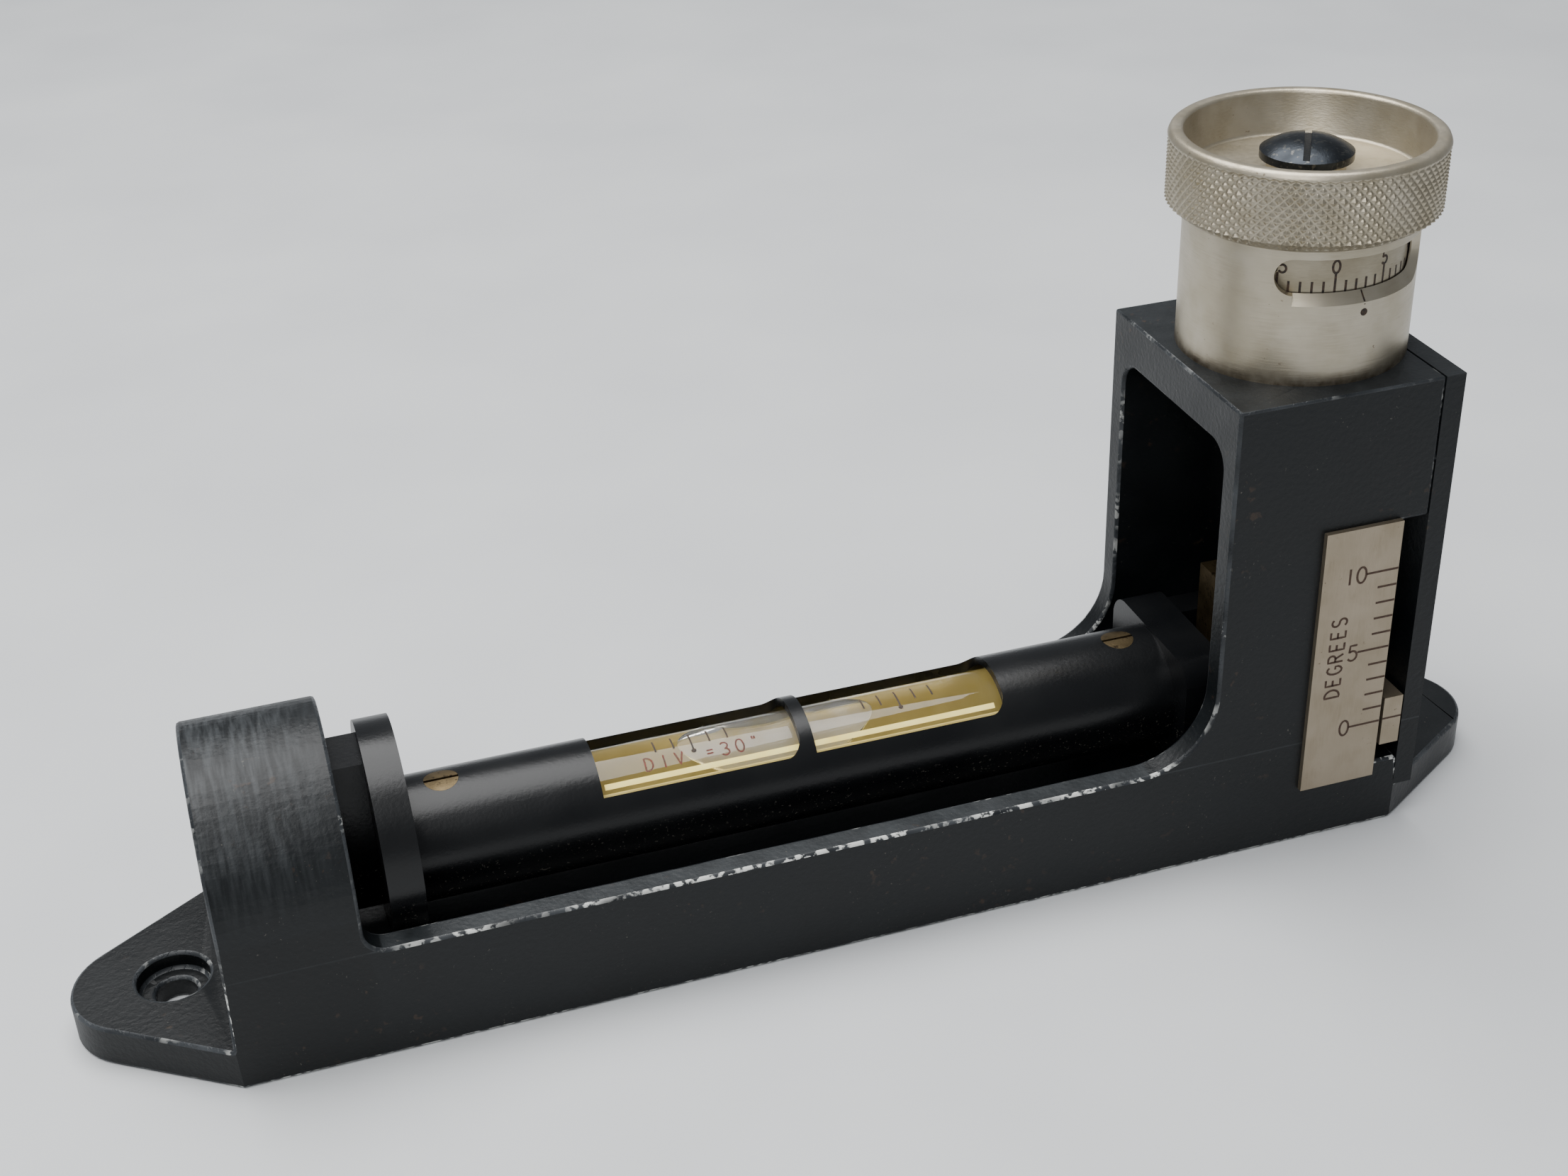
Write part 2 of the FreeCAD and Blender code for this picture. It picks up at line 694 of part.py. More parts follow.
def hub_pin():
    return node(rod("hub_pin", "X", f"{SCREW_X} - drum_hub_radius + seat_gap", "0",
                    f"{HUB_Z} + hub_pin_rise", "hub_pin_radius", "2 * drum_hub_radius - 2 * seat_gap"))


def grip_knob():
    bore = "stem_radius + seat_gap"
    top = f"({KNOB_Z} + knob_height)"
    floor = f"({KNOB_Z} + knob_floor)"
    dish = "(knob_radius - knob_rim)"
    shell = turned("knob_shell", [
        (bore, KNOB_Z),
        ("knob_radius - knob_chamfer", KNOB_Z),
        ("knob_radius", f"{KNOB_Z} + knob_chamfer_rise"),
        ("knob_radius", f"{top} - knob_edge_round"),
        ("knob_radius - knob_edge_round", top),
        (f"{dish} + knob_edge_round", top),
        (dish, f"{top} - knob_edge_round"),
        (f"{dish} - knob_edge_round", floor),
        ("knob_boss_radius", floor),
        ("knob_boss_radius", SEAT_Z),
        (bore, SEAT_Z),
    ], x=SCREW_X)
    holes = [drive_pin(f"knob_pin_hole_{word}", side, "drive_pin_radius + seat_gap")
             for word, side in (("left", -1), ("right", 1))]
    return node(cut("grip_knob", shell, *holes))


def knob_screw():
    """The retaining screw of the knob: a cheese head with a domed top and a slot."""
    low = f"({SEAT_Z} + knob_washer_thickness)"
    dome_low = f"({low} + knob_screw_head)"
    tip = f"({low} - knob_screw_length + stem_top_gap + knob_screw_tip_gap)"
    body = turned("knob_screw_body", [
        ("0", tip),
        ("knob_screw_radius", tip),
        ("knob_screw_radius", low),
        ("knob_screw_head_radius", low),
        ("knob_screw_head_radius", dome_low),
        ("0", dome_low),
    ], x=SCREW_X)
    # The dome is the cap of a ball: radius from the head's radius and the dome's rise
    ball_radius = "((knob_screw_head_radius ^ 2 + knob_screw_dome ^ 2) / (2 * knob_screw_dome))"
    ball = doc.addObject("Part::Sphere", "knob_screw_ball")
    bind(ball, Radius=ball_radius)
    place(ball, SCREW_X, "0", f"{dome_low} + knob_screw_dome - {ball_radius}")
    cap_space = rod("knob_screw_cap_space", "Z", SCREW_X, "0", dome_low, "knob_screw_head_radius",
                    "knob_screw_dome")
    cap = common("knob_screw_cap", ball, cap_space)
    # The slot came to rest turned from the Y axis, so its corner is turned about the screw
    turn = "(knob_slot_turn * 1 deg)"
    reach = "(2 * knob_screw_head_radius)"
    slot = box("knob_screw_slot",
               f"{SCREW_X} - screwdriver_slot / 2 * cos({turn}) - {reach} * sin({turn})",
               f"screwdriver_slot / 2 * sin({turn}) - {reach} * cos({turn})",
               f"{dome_low} + knob_screw_slot_base", "screwdriver_slot", f"2 * {reach}",
               "2 * knob_screw_dome")
    slot.setExpression("Placement.Rotation.Yaw", bound("-knob_slot_turn"))
    return node(cut("knob_screw", fused("knob_screw_blank", body, cap), slot))


def drive_nut():
    low = "(axis_height - nut_low)"
    block = slab("nut_block", f"{SCREW_X} - nut_left_reach", low, "nut_left_reach + nut_right_reach",
                 "2 * nut_half_width", "nut_low + nut_high")
    horn = slab("nut_horn", f"{SCREW_X} - nut_left_reach", "axis_height", "nut_horn_length",
                "2 * nut_half_width", "nut_horn_height")
    bore = rod("nut_bore", "Z", SCREW_X, "0", f"{low} - overrun", "thread_radius + running_gap",
               "nut_low + nut_high + 2 * overrun")
    tools = [bore]
    for side, word in ((-1, "front"), (1, "back")):
        tools.append(trunnion(f"trunnion_seat_{word}", side, "trunnion_radius + seat_gap"))
        tools.append(bracket_screw_shank(f"bracket_thread_{word}", side,
                                         "bracket_screw_radius + seat_gap"))
    return node(cut("drive_nut", fused("nut_solid", block, horn), *tools))


def trunnion(name, side, radius):
    """A cross pin that stands out of the nut's side and drives the fork."""
    inner = "(nut_half_width - trunnion_seat_depth)"
    y = inner if side > 0 else f"-({inner}) - trunnion_length - trunnion_seat_depth"
    return rod(name, "Y", SCREW_X, y, "axis_height", radius, "trunnion_length + trunnion_seat_depth")


def trunnion_pins():
    return grouped("trunnion_pins", [trunnion(f"trunnion_pin_{word}", side, "trunnion_radius")
                                     for side, word in ((-1, "front"), (1, "back"))])


BRACKET_X = f"({SCREW_X} + nut_right_reach)"
BRACKET_LOW = "(axis_height - index_drop - bracket_height / 2)"


def bracket_screw_shank(name, side, radius):
    return rod(name, "X", f"{BRACKET_X} - bracket_screw_length + bracket_thickness / 2",
               f"{side} * nut_half_width / 2", "axis_height - index_drop", radius,
               "bracket_screw_length + bracket_thickness / 2")


def index_bracket():
    plate = box("bracket_plate", BRACKET_X, "-bracket_front", BRACKET_LOW, "bracket_thickness",
                "bracket_front + bracket_back", "bracket_height")
    holes = [bracket_screw_shank(f"bracket_hole_{word}", side, "bracket_screw_radius + seat_gap")
             for side, word in ((-1, "front"), (1, "back"))]
    return node(cut("index_bracket", plate, *holes))


def bracket_screws():
    screws = []
    for side, word in ((-1, "front"), (1, "back")):
        shank = bracket_screw_shank(f"bracket_shank_{word}", side, "bracket_screw_radius")
        y = f"({side} * nut_half_width / 2)"
        head = rod(f"bracket_head_{word}", "X", f"{BRACKET_X} + bracket_thickness", y,
                   "axis_height - index_drop",
                   "bracket_screw_head_radius", "bracket_screw_head")
        slot = box(f"bracket_head_slot_{word}",
                   f"{BRACKET_X} + bracket_thickness + bracket_screw_head / 2",
                   f"{y} - screwdriver_slot / 2",
                   "axis_height - index_drop - 2 * bracket_screw_head_radius", "bracket_screw_head",
                   "screwdriver_slot", "4 * bracket_screw_head_radius")
        screws.append(cut(f"bracket_screw_{word}", fused(f"bracket_screw_body_{word}", shank, head),
                          slot))
    return grouped("bracket_screws", screws)


def index_pointer():
    """The block that shows beside the scale and carries the index line."""
    x = f"({BRACKET_X} + bracket_thickness)"
    face = "(body_width / 2 + index_proud)"
    return node(box("index_pointer", x, f"-{face}", "axis_height - index_drop - index_height / 2",
                    "index_thickness", f"{face} - bracket_front + index_overlap", "index_height"))


def end_flange():
    """The tube's left end: a round flange, a tongue for the pivot and a spigot."""
    flange_x = f"({PIVOT_X} + tongue_run)"
    disc = rod("flange_disc", "X", flange_x, "0", "axis_height + flange_rise", "flange_radius",
               "flange_thickness")
    nose = rod("tongue_nose", "Y", PIVOT_X, "-tongue_thickness / 2", "axis_height", "tongue_nose_radius",
               "tongue_thickness")
    neck = slab("tongue_neck", PIVOT_X, "axis_height - tongue_nose_radius", "tongue_run + overrun",
                "tongue_thickness", "2 * tongue_nose_radius")
    riser = slab("tongue_riser", f"{flange_x} - tongue_length", "axis_height", "tongue_length + overrun",
                 "tongue_thickness", "tongue_height")
    spigot = rod("flange_spigot", "X", flange_x, "0", "axis_height", "tube_radius - tube_wall - seat_gap",
                 "flange_thickness + spigot_length")
    bore = rod("tongue_bore", "Y", PIVOT_X, "-body_width / 2", "axis_height",
               "pivot_bush_radius + seat_gap",
               "body_width")
    thread = tube_screw_shank("flange_thread", f"{TUBE_X} + tube_screw_inset",
                              "tube_screw_radius + seat_gap")
    solid = fused("flange_solid", disc, nose, neck, riser, spigot)
    return node(cut("end_flange", solid, bore, thread))


def pivot_bush():
    bush = rod("pivot_bush_solid", "Y", PIVOT_X, "-tongue_thickness / 2", "axis_height",
               "pivot_bush_radius",
               "tongue_thickness")
    bore = rod("pivot_bush_bore", "Y", PIVOT_X, "-tongue_thickness", "axis_height",
               "pivot_pin_radius + running_gap", "2 * tongue_thickness")
    return node(cut("pivot_bush", bush, bore))


def tube_screw_shank(name, x, radius):
    return rod(name, "Z", x, "0", "axis_height + tube_screw_low", radius, "tube_radius")


def tube_screw_xs():
    yield "left", f"({TUBE_X} + tube_screw_inset)"
    yield "right", f"({FORK_X} - tube_screw_inset)"


def level_tube():
    outer = rod("tube_outer", "X", TUBE_X, "0", "axis_height", "tube_radius", "tube_length")
    inner = rod("tube_inner", "X", f"{TUBE_X} - overrun", "0", "axis_height", "tube_radius - tube_wall",
                "tube_length + 2 * overrun")
    tools = [inner]
    for i, word in enumerate(("left", "right")):
        x = f"({TUBE_X} + window_inset + {i} * (window_length + window_web))"
        corner = "window_corner_radius"
        tools.append(slab(f"vial_window_{word}", x, "axis_height", f"window_length - {corner}",
                          "2 * window_half_width", "2 * tube_radius"))
        tools.append(slab(f"vial_window_nose_{word}", f"{x} + window_length - {corner} - overrun",
                          "axis_height",
                          f"{corner} + overrun", f"2 * window_half_width - 2 * {corner}",
                          "2 * tube_radius"))
        for side in (-1, 1):
            tools.append(rod(f"vial_window_round_{word}_{side + 1}", "Z",
                             f"{x} + window_length - {corner}",
                             f"{side} * (window_half_width - {corner})", "axis_height", corner,
                             "2 * tube_radius"))
    for word, x in tube_screw_xs():
        tools.append(rod(f"tube_screw_hole_{word}", "Z", x, "0", "axis_height + tube_screw_low",
                         "tube_screw_head_radius + seat_gap", "2 * tube_radius"))
    return node(cut("level_tube", outer, *tools))


def tube_screws():
    """Slotted screws whose heads are dressed flush with the tube."""
    screws = []
    for word, x in tube_screw_xs():
        shank = tube_screw_shank(f"tube_screw_shank_{word}", x, "tube_screw_radius")
        shank_low = cut(f"tube_screw_shank_low_{word}", shank,
                        rod(f"tube_screw_top_{word}", "Z", x, "0",
                            "axis_height + tube_radius - tube_wall / 2", "2 * tube_screw_radius",
                            "tube_radius"))
        head = rod(f"tube_screw_head_{word}", "Z", x, "0",
                   "axis_height + tube_radius - tube_wall + 2 * seat_gap",
                   "tube_screw_head_radius", "tube_wall")
        blank = fused(f"tube_screw_blank_{word}", shank_low, head)
        skin = rod(f"tube_screw_skin_{word}", "X", f"{x} - 2 * tube_screw_head_radius", "0",
                   "axis_height", "tube_radius", "4 * tube_screw_head_radius")
        flush = common(f"tube_screw_flush_{word}", blank, skin)
        slot = box(f"tube_screw_slot_{word}", f"{x} - 2 * tube_screw_head_radius",
                   "-screwdriver_slot / 4", "axis_height + tube_radius - tube_screw_slot_depth",
                   "4 * tube_screw_head_radius", "screwdriver_slot / 2", "2 * tube_wall")
        screws.append(cut(f"tube_screw_{word}", flush, slot))
    return grouped("tube_screws", screws)


def fork_block():
    """The tube's right end: a spigot, a block with rounded shoulders and two arms."""
    corner = "fork_corner_radius"
    low = "(axis_height - fork_height)"
    lower = slab("fork_lower", FORK_X, low, "fork_web", "2 * fork_half_width",
                 f"2 * fork_height - {corner}")
    upper = slab("fork_upper", FORK_X, "axis_height", "fork_web", f"2 * (fork_half_width - {corner})",
                 "fork_height")
    pieces = [lower, upper]
    for side, word in ((-1, "front"), (1, "back")):
        pieces.append(rod(f"fork_shoulder_{word}", "X", FORK_X, f"{side} * (fork_half_width - {corner})",
                          f"axis_height + fork_height - {corner}", corner, "fork_web"))
        y = "-fork_half_width" if side < 0 else "fork_gap / 2"
        pieces.append(box(f"fork_arm_{word}", FORK_X, y, "axis_height - fork_arm_height", "fork_reach",
                          "fork_half_width - fork_gap / 2", "2 * fork_arm_height"))
    pieces.append(rod("fork_spigot", "X", f"{FORK_X} - spigot_length", "0", "axis_height",
                      "tube_radius - tube_wall - seat_gap", "spigot_length + overrun"))
    slot = slab("fork_slot", f"{FORK_X} + fork_reach - fork_slot_length",
                "axis_height - trunnion_radius - fork_slot_play", "fork_slot_length + overrun",
                "3 * fork_half_width",
                "2 * (trunnion_radius + fork_slot_play)")
    thread = tube_screw_shank("fork_thread", f"{FORK_X} - tube_screw_inset",
                              "tube_screw_radius + seat_gap")
    return node(cut("fork_block", fused("fork_solid", *pieces), slot, thread))


def vial_glass():
    outer = rod("glass_outer", "X", VIAL_X, "0", "axis_height", "vial_radius", "vial_length")
    inner = rod("glass_inner", "X", f"{VIAL_X} + vial_end_wall", "0", "axis_height",
                "vial_radius - vial_wall",
                "vial_length - 2 * vial_end_wall")
    return node(cut("vial_glass", outer, inner))


def spirit_fill():
    """The spirit, less the bubble, which lies against the top of the bore."""
    fill = rod("spirit_solid", "X", f"{VIAL_X} + vial_end_wall + seat_gap", "0", "axis_height",
               "vial_radius - vial_wall - seat_gap", "vial_length - 2 * vial_end_wall - 2 * seat_gap")
    bubble = doc.addObject("Part::Ellipsoid", "bubble_space")
    bind(bubble, Radius1="bubble_depth", Radius2="bubble_length / 2", Radius3="bubble_width / 2")
    place(bubble, f"{VIAL_X} + vial_length / 2 - bubble_shift", "0",
          "axis_height + vial_radius - vial_wall")
    return node(cut("spirit_fill", fill, bubble))


def vial_packings():
    """Soft rings that hold the vial inside the tube, one near each end."""
    rings = []
    for word, x in (("left", f"({VIAL_X} + seat_gap)"),
                    ("right", f"({VIAL_X} + vial_length - packing_length - seat_gap)")):
        outer = rod(f"packing_outer_{word}", "X", x, "0", "axis_height",
                    "tube_radius - tube_wall - seat_gap",
                    "packing_length")
        inner = rod(f"packing_inner_{word}", "X", f"{x} - overrun", "0", "axis_height",
                    "vial_radius + seat_gap",
                    "packing_length + 2 * overrun")
        rings.append(cut(f"vial_packing_{word}", outer, inner))
    return grouped("vial_packings", rings)


def reflector_liner():
    """A bright half shell below the vial, between it and the tube."""
    x = f"({VIAL_X} + (vial_length - liner_length) / 2)"
    radius = "(tube_radius - tube_wall - seat_gap)"
    outer = rod("liner_outer", "X", x, "0", "axis_height", radius, "liner_length")
    inner = rod("liner_inner", "X", f"{x} - overrun", "0", "axis_height", f"{radius} - liner_thickness",
                "liner_length + 2 * overrun")
    # It is rolled towards the front, so that its front edge shows beside the vial
    top = doc.addObject("Part::Box", "liner_top")
    bind(top, Length="liner_length + 2 * overrun", Width="4 * vial_radius", Height="4 * vial_radius")
    top.setExpression("Placement.Rotation.Roll", bound("-liner_roll"))
    place(top, f"{x} - overrun", "-2 * vial_radius * cos(liner_roll * 1 deg)",
          "axis_height + liner_rise + 2 * vial_radius * sin(liner_roll * 1 deg)")
    return node(cut("reflector_liner", outer, inner, top))


def check_and_write():
    doc.recompute()
    for item in doc.Objects:
        if "Invalid" in item.State or "Error" in item.State:
            raise ValueError(f"{item.Label} failed: {item.State}")
    for item in nodes:
        if item.Shape.isNull() or not item.Shape.isValid() or not item.Shape.Solids:
            raise ValueError(f"{item.Label} has no valid solid")
    os.makedirs("parts", exist_ok=True)
    for item in nodes:
        item.Shape.exportStep(f"parts/{item.Label}.step")
        print(item.Label, len(item.Shape.Solids), "solids", round(item.Shape.Volume, 1), "mm3")


base_frame()
tower_cover()
cover_screws()
scale_plate()
pivot_pin()
upper_bush()
foot_bush()
micrometer_sleeve()
sleeve_screws()
lead_screw()
ring("thrust_washer", "journal_radius + running_gap", "washer_radius", f"({COLLAR_Z} + thrust_gap)",
     "washer_thickness")
ring("lock_ring", "stem_radius + seat_gap", "lock_ring_radius", RING_Z, "lock_ring_height")
graduated_drum()
hub_pin()
drive_pins()
grip_knob()
ring("knob_washer", "knob_screw_radius + seat_gap", "knob_washer_radius", SEAT_Z, "knob_washer_thickness")
knob_screw()
drive_nut()
trunnion_pins()
index_bracket()
bracket_screws()
index_pointer()
end_flange()
pivot_bush()
level_tube()
tube_screws()
fork_block()
vial_glass()
spirit_fill()
vial_packings()
reflector_liner()
check_and_write()
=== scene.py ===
import math
import bmesh
import bpy
import numpy as np
from mathutils import Matrix, Vector


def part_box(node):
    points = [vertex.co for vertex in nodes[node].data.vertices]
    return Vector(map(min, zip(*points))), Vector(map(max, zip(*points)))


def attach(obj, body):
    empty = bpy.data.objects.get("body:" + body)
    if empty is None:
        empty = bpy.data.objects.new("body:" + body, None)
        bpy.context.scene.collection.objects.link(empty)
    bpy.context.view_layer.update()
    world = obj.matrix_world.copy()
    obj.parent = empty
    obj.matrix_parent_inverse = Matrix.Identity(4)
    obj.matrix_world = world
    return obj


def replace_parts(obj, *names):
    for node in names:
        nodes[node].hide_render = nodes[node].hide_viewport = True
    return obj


# Inclinometer with a micrometer head: finishes, knurling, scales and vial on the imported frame.
# Shapes are worked out in millimetres in the frame's own axes and put into meshes in metres.

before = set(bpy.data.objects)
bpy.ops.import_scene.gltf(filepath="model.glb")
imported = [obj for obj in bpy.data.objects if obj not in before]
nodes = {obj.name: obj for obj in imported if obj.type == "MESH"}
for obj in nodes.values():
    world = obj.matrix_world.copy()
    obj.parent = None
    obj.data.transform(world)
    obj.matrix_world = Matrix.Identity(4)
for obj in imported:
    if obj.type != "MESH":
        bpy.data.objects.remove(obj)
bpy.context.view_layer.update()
MM = 0.001
X, Y, Z = 0, 1, 2


def low(node, axis):
    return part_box(node)[0][axis] / MM


def high(node, axis):
    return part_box(node)[1][axis] / MM


def middle(node, axis):
    return (low(node, axis) + high(node, axis)) / 2


def radius_of(node, axis):
    """Half of a node's size along an axis."""
    return (high(node, axis) - low(node, axis)) / 2


SCREW_X = middle("micrometer_sleeve", X)
SLEEVE_RADIUS = radius_of("micrometer_sleeve", X)
SLEEVE_LOW = low("micrometer_sleeve", Z)
DRUM_RADIUS = radius_of("graduated_drum", X)
KNOB_RADIUS = radius_of("grip_knob", X)
KNOB_LOW = low("grip_knob", Z)
KNOB_TOP = high("grip_knob", Z)
PLATE_FACE = low("scale_plate", Y)
PLATE_RIGHT = high("scale_plate", X)
POINTER_FACE = low("index_pointer", Y)
TUBE_Z = middle("level_tube", Z)
VIAL_X = middle("vial_glass", X)
VIAL_RADIUS = radius_of("vial_glass", Y)
VIAL_HALF = radius_of("vial_glass", X)
# The casting: its lug and post along X, and heights on the post, where the painted highlight on its crown
# gives way to painted shade, and at its top
LUG_LENGTH, POST_LENGTH = 20.3, 18.1
POST_RIGHT = low("base_frame", X) + LUG_LENGTH + POST_LENGTH
POST_TONE_Z, POST_TOP = 23, 42
# The trough's rim: its height and its front face
RIM_Z, RIM_Y = 17.3, -18.7


# Materials


def linear(code):
    """A colour's sRGB hex code as linear red, green, blue and alpha."""
    parts = [int(code[i:i + 2], 16) / 255 for i in (1, 3, 5)]
    # The sRGB standard's curve: a straight foot, then a power
    return [p / 12.92 if p <= 0.04045 else ((p + 0.055) / 1.055) ** 2.4 for p in parts] + [1]


def per_mm(size):
    """The texture scale that gives features of a size in millimetres."""
    return 1 / (size * MM)


def add(tree, kind, links=None, **settings):
    """Adds a node with its settings, and fills its sockets from values or from other sockets."""
    node = tree.nodes.new("ShaderNode" + kind)
    for name, value in settings.items():
        setattr(node, name, value)
    for key, value in (links or {}).items():
        if isinstance(value, bpy.types.NodeSocket):
            tree.links.new(value, node.inputs[key])
        else:
            node.inputs[key].default_value = value
    return node.outputs


def material(name):
    made = bpy.data.materials.new(name)
    made.use_nodes = True
    tree = made.node_tree
    shader = tree.nodes["Principled BSDF"]
    place = add(tree, "TexCoord")["Object"]
    return made, tree, shader, place


def combined(tree, operation, first, second):
    return add(tree, "Math", {0: first, 1: second}, operation=operation)[0]


def product(tree, first, second):
    return combined(tree, "MULTIPLY", first, second)


def between(tree, value, lowest, highest):
    """A value of 0 to 1 spread over another range."""
    return add(tree, "MapRange", {"Value": value, "To Min": lowest, "To Max": highest})[0]


def grain(tree, place, size, detail):
    """Plain noise of a size in millimetres."""
    return add(tree, "TexNoise", {"Vector": place, "Scale": per_mm(size), "Detail": detail})[0]


def patches(tree, place, size, start, end):
    """Noise of a real size, from 0 where it is below start to 1 where it is above end."""
    noise = grain(tree, place, size, 3)
    return add(tree, "MapRange", {"Value": noise, "From Min": start, "From Max": end})[0]


def set_shader(tree, shader, colour, rough, specular=None, metallic=None):
    """Sets the shader's colour, roughness, gloss and metal from values or from other sockets."""
    for socket, value in (("Base Color", colour), ("Roughness", rough), ("Specular IOR Level", specular),
                          ("Metallic", metallic)):
        if isinstance(value, bpy.types.NodeSocket):
            tree.links.new(value, shader.inputs[socket])
        elif value is not None:
            shader.inputs[socket].default_value = value


# A Mix node's colour sockets, which share their names with its other sockets
MIX_FIRST, MIX_SECOND, MIX_COLOUR = 6, 7, 2


def colours(tree, factor, under, over):
    """The colour under where the factor is 0, and over where it is 1."""
    ends = {"Factor": factor}
    for socket, colour in ((MIX_FIRST, under), (MIX_SECOND, over)):
        ends[socket] = linear(colour) if isinstance(colour, str) else colour
    return add(tree, "Mix", ends, data_type="RGBA")[MIX_COLOUR]


def roughened(tree, shader, height, depth):
    """Bump of a real depth in millimetres from a height of 0 to 1."""
    bump = add(tree, "Bump", {"Height": height, "Distance": depth * MM, "Strength": 1})[0]
    tree.links.new(bump, shader.inputs["Normal"])


def above(tree, place, axis, start, end):
    """0 below start and 1 above end, in millimetres along one axis; start may be the higher."""
    along = add(tree, "SeparateXYZ", {"Vector": place})[axis]
    return add(tree, "MapRange", {"Value": along, "From Min": start * MM, "From Max": end * MM})[0]


def stretched(tree, place, x, y, z):
    """The place with each axis multiplied, so that a pattern runs long where the factor is small."""
    return add(tree, "Mapping", {"Vector": place, "Scale": (x, y, z)})[0]


def stove_enamel():
    """Black stove enamel on a casting: satin, finely pitted and dusty, with file streaks and a painted
    highlight on the post's crown, painted shade below it and a painted sheen on top faces.
    """
    made, tree, shader, place = material("black stove enamel")
    tone = patches(tree, place, 11, 0.35, 0.7)
    colour = colours(tree, tone, "#090c0e", "#111416")
    # The trough's rim and the tower's top get a thin grey film in patches: a painted sheen where these top
    # faces catch the overhead light
    rim = product(tree, above(tree, place, Z, RIM_Z - 0.15, RIM_Z),
                  above(tree, place, Z, RIM_Z + 0.2, RIM_Z + 0.1))
    tower_top = above(tree, place, Z, SLEEVE_LOW - 0.2, SLEEVE_LOW - 0.05)
    film = combined(tree, "ADD", rim, product(tree, tower_top, 0.6))
    colour = colours(tree, product(tree, film, patches(tree, place, 4, 0.05, 0.7)), colour, "#2c2f31")
    # The crown of the post: pale upright file streaks, lightened into a painted highlight on its rounded
    # top, above the edge of the painted shade
    filed_streaks_and_highlight = patches(tree, stretched(tree, place, 1, 0.12, 0.12), 0.7, 0.4, 0.85)
    crown = product(tree, above(tree, place, Z, POST_TONE_Z + 1, POST_TOP),
                    above(tree, place, X, POST_RIGHT + 1, POST_RIGHT - 8))
    colour = colours(tree, product(tree, filed_streaks_and_highlight, crown), colour, "#414446")
    # Below that edge the casting, up to the post's right face, is darkened nearly to black: painted shade
    painted_shade_low = product(tree, above(tree, place, Z, POST_TONE_Z, POST_TONE_Z - 1),
                   above(tree, place, X, POST_RIGHT + 1, POST_RIGHT))
    colour = colours(tree, product(tree, painted_shade_low, 0.5), colour, "#060809")
    # Dust and fine chips, gathered in patches
    specks = product(tree, patches(tree, place, 0.4, 0.68, 0.75), patches(tree, place, 8, 0.48, 0.66))
    colour = colours(tree, specks, colour, "#57544d")
    rust = product(tree, patches(tree, place, 1.4, 0.64, 0.72), patches(tree, place, 16, 0.55, 0.65))
    colour = colours(tree, product(tree, rust, 0.6), colour, "#3d2f24")
    set_shader(tree, shader, colour, between(tree, tone, 0.36, 0.48), specular=0.28)
    roughened(tree, shader, grain(tree, place, 0.7, 4), 0.07)
    return made


def worn_edge():
    """The same enamel where an edge is rubbed and chipped through to bright grey iron."""
    made, tree, shader, place = material("worn edge of black enamel")
    chips = patches(tree, place, 1.1, 0.47, 0.55)
    rubbed = patches(tree, place, 9, 0.35, 0.7)
    colour = colours(tree, rubbed, "#14171a", "#3c3f42")
    # The front of the trough's rim has caught the most knocks; elsewhere the chips are few
    front = product(tree, above(tree, place, Y, RIM_Y + 1.5, RIM_Y + 0.5),
                    above(tree, place, Z, RIM_Z + 1.5, RIM_Z + 0.5))
    knocks = product(tree, front, patches(tree, place, 12, 0.38, 0.52))
    few = product(tree, patches(tree, place, 6, 0.55, 0.68), 0.45)
    struck = combined(tree, "MAXIMUM", knocks, few)
    colour = colours(tree, product(tree, chips, struck), colour, "#c3c4c0")
    set_shader(tree, shader, colour, 0.42, specular=0.3)
    roughened(tree, shader, chips, 0.05)
    return made


def tube_lacquer():
    """Black lacquer on drawn tube: smoother than the casting, with a long clear highlight, dusty below."""
    made, tree, shader, place = material("black lacquer on drawn tube")
    dust = product(tree, patches(tree, place, 0.45, 0.64, 0.7),
                   above(tree, place, Z, TUBE_Z + 1, TUBE_Z - 5))
    tone = patches(tree, place, 14, 0.3, 0.7)
    colour = colours(tree, tone, "#08090b", "#111213")
    colour = colours(tree, dust, colour, "#77736a")
    set_shader(tree, shader, colour, between(tree, tone, 0.24, 0.34), specular=0.3)
    roughened(tree, shader, grain(tree, place, 0.5, 3), 0.02)
    return made


def nickel_silver(name, brush, pale, dull, stain):
    """Nickel silver, brushed: a warm grey metal with fine lines, brown tarnish specks and stains.

    brush holds the three factors that stretch the lines along the way of brushing.
    """
    made, tree, shader, place = material(name)
    lines = grain(tree, stretched(tree, place, *brush), 0.22, 3)
    tone = patches(tree, place, 6, 0.3, 0.7)
    colour = colours(tree, tone, pale, dull)
    stained = product(tree, lines, patches(tree, place, 5, 0.45, 0.8))
    colour = colours(tree, stained, colour, stain)
    tarnish = product(tree, patches(tree, place, 0.6, 0.68, 0.74), patches(tree, place, 7, 0.5, 0.65))
    colour = colours(tree, tarnish, colour, "#5b4a34")
    # Brown dirt has gathered where the sleeve stands on the tower, and on no lower piece of this metal
    dirt = product(tree, above(tree, place, Z, SLEEVE_LOW + 2.2, SLEEVE_LOW + 0.2),
                   above(tree, place, Z, SLEEVE_LOW - 12.2, SLEEVE_LOW - 11.2))
    smudge = between(tree, patches(tree, place, 1.5, 0.3, 0.8), 0.3, 1)
    colour = colours(tree, product(tree, dirt, smudge), colour, "#4d3d29")
    set_shader(tree, shader, colour, between(tree, lines, 0.3, 0.5), metallic=0.85)
    roughened(tree, shader, lines, 0.02)
    return made


def metal(name, bright, dull, grain_size, rough, stain=None):
    """A turned metal part: two tones in patches, fine grain, and stains where it has them."""
    made, tree, shader, place = material(name)
    colour = colours(tree, patches(tree, place, 2.5, 0.35, 0.65), bright, dull)
    if stain:
        colour = colours(tree, patches(tree, place, 0.7, 0.58, 0.68), colour, stain)
    set_shader(tree, shader, colour, rough, metallic=0.9)
    roughened(tree, shader, grain(tree, place, grain_size, 2), 0.02)
    return made


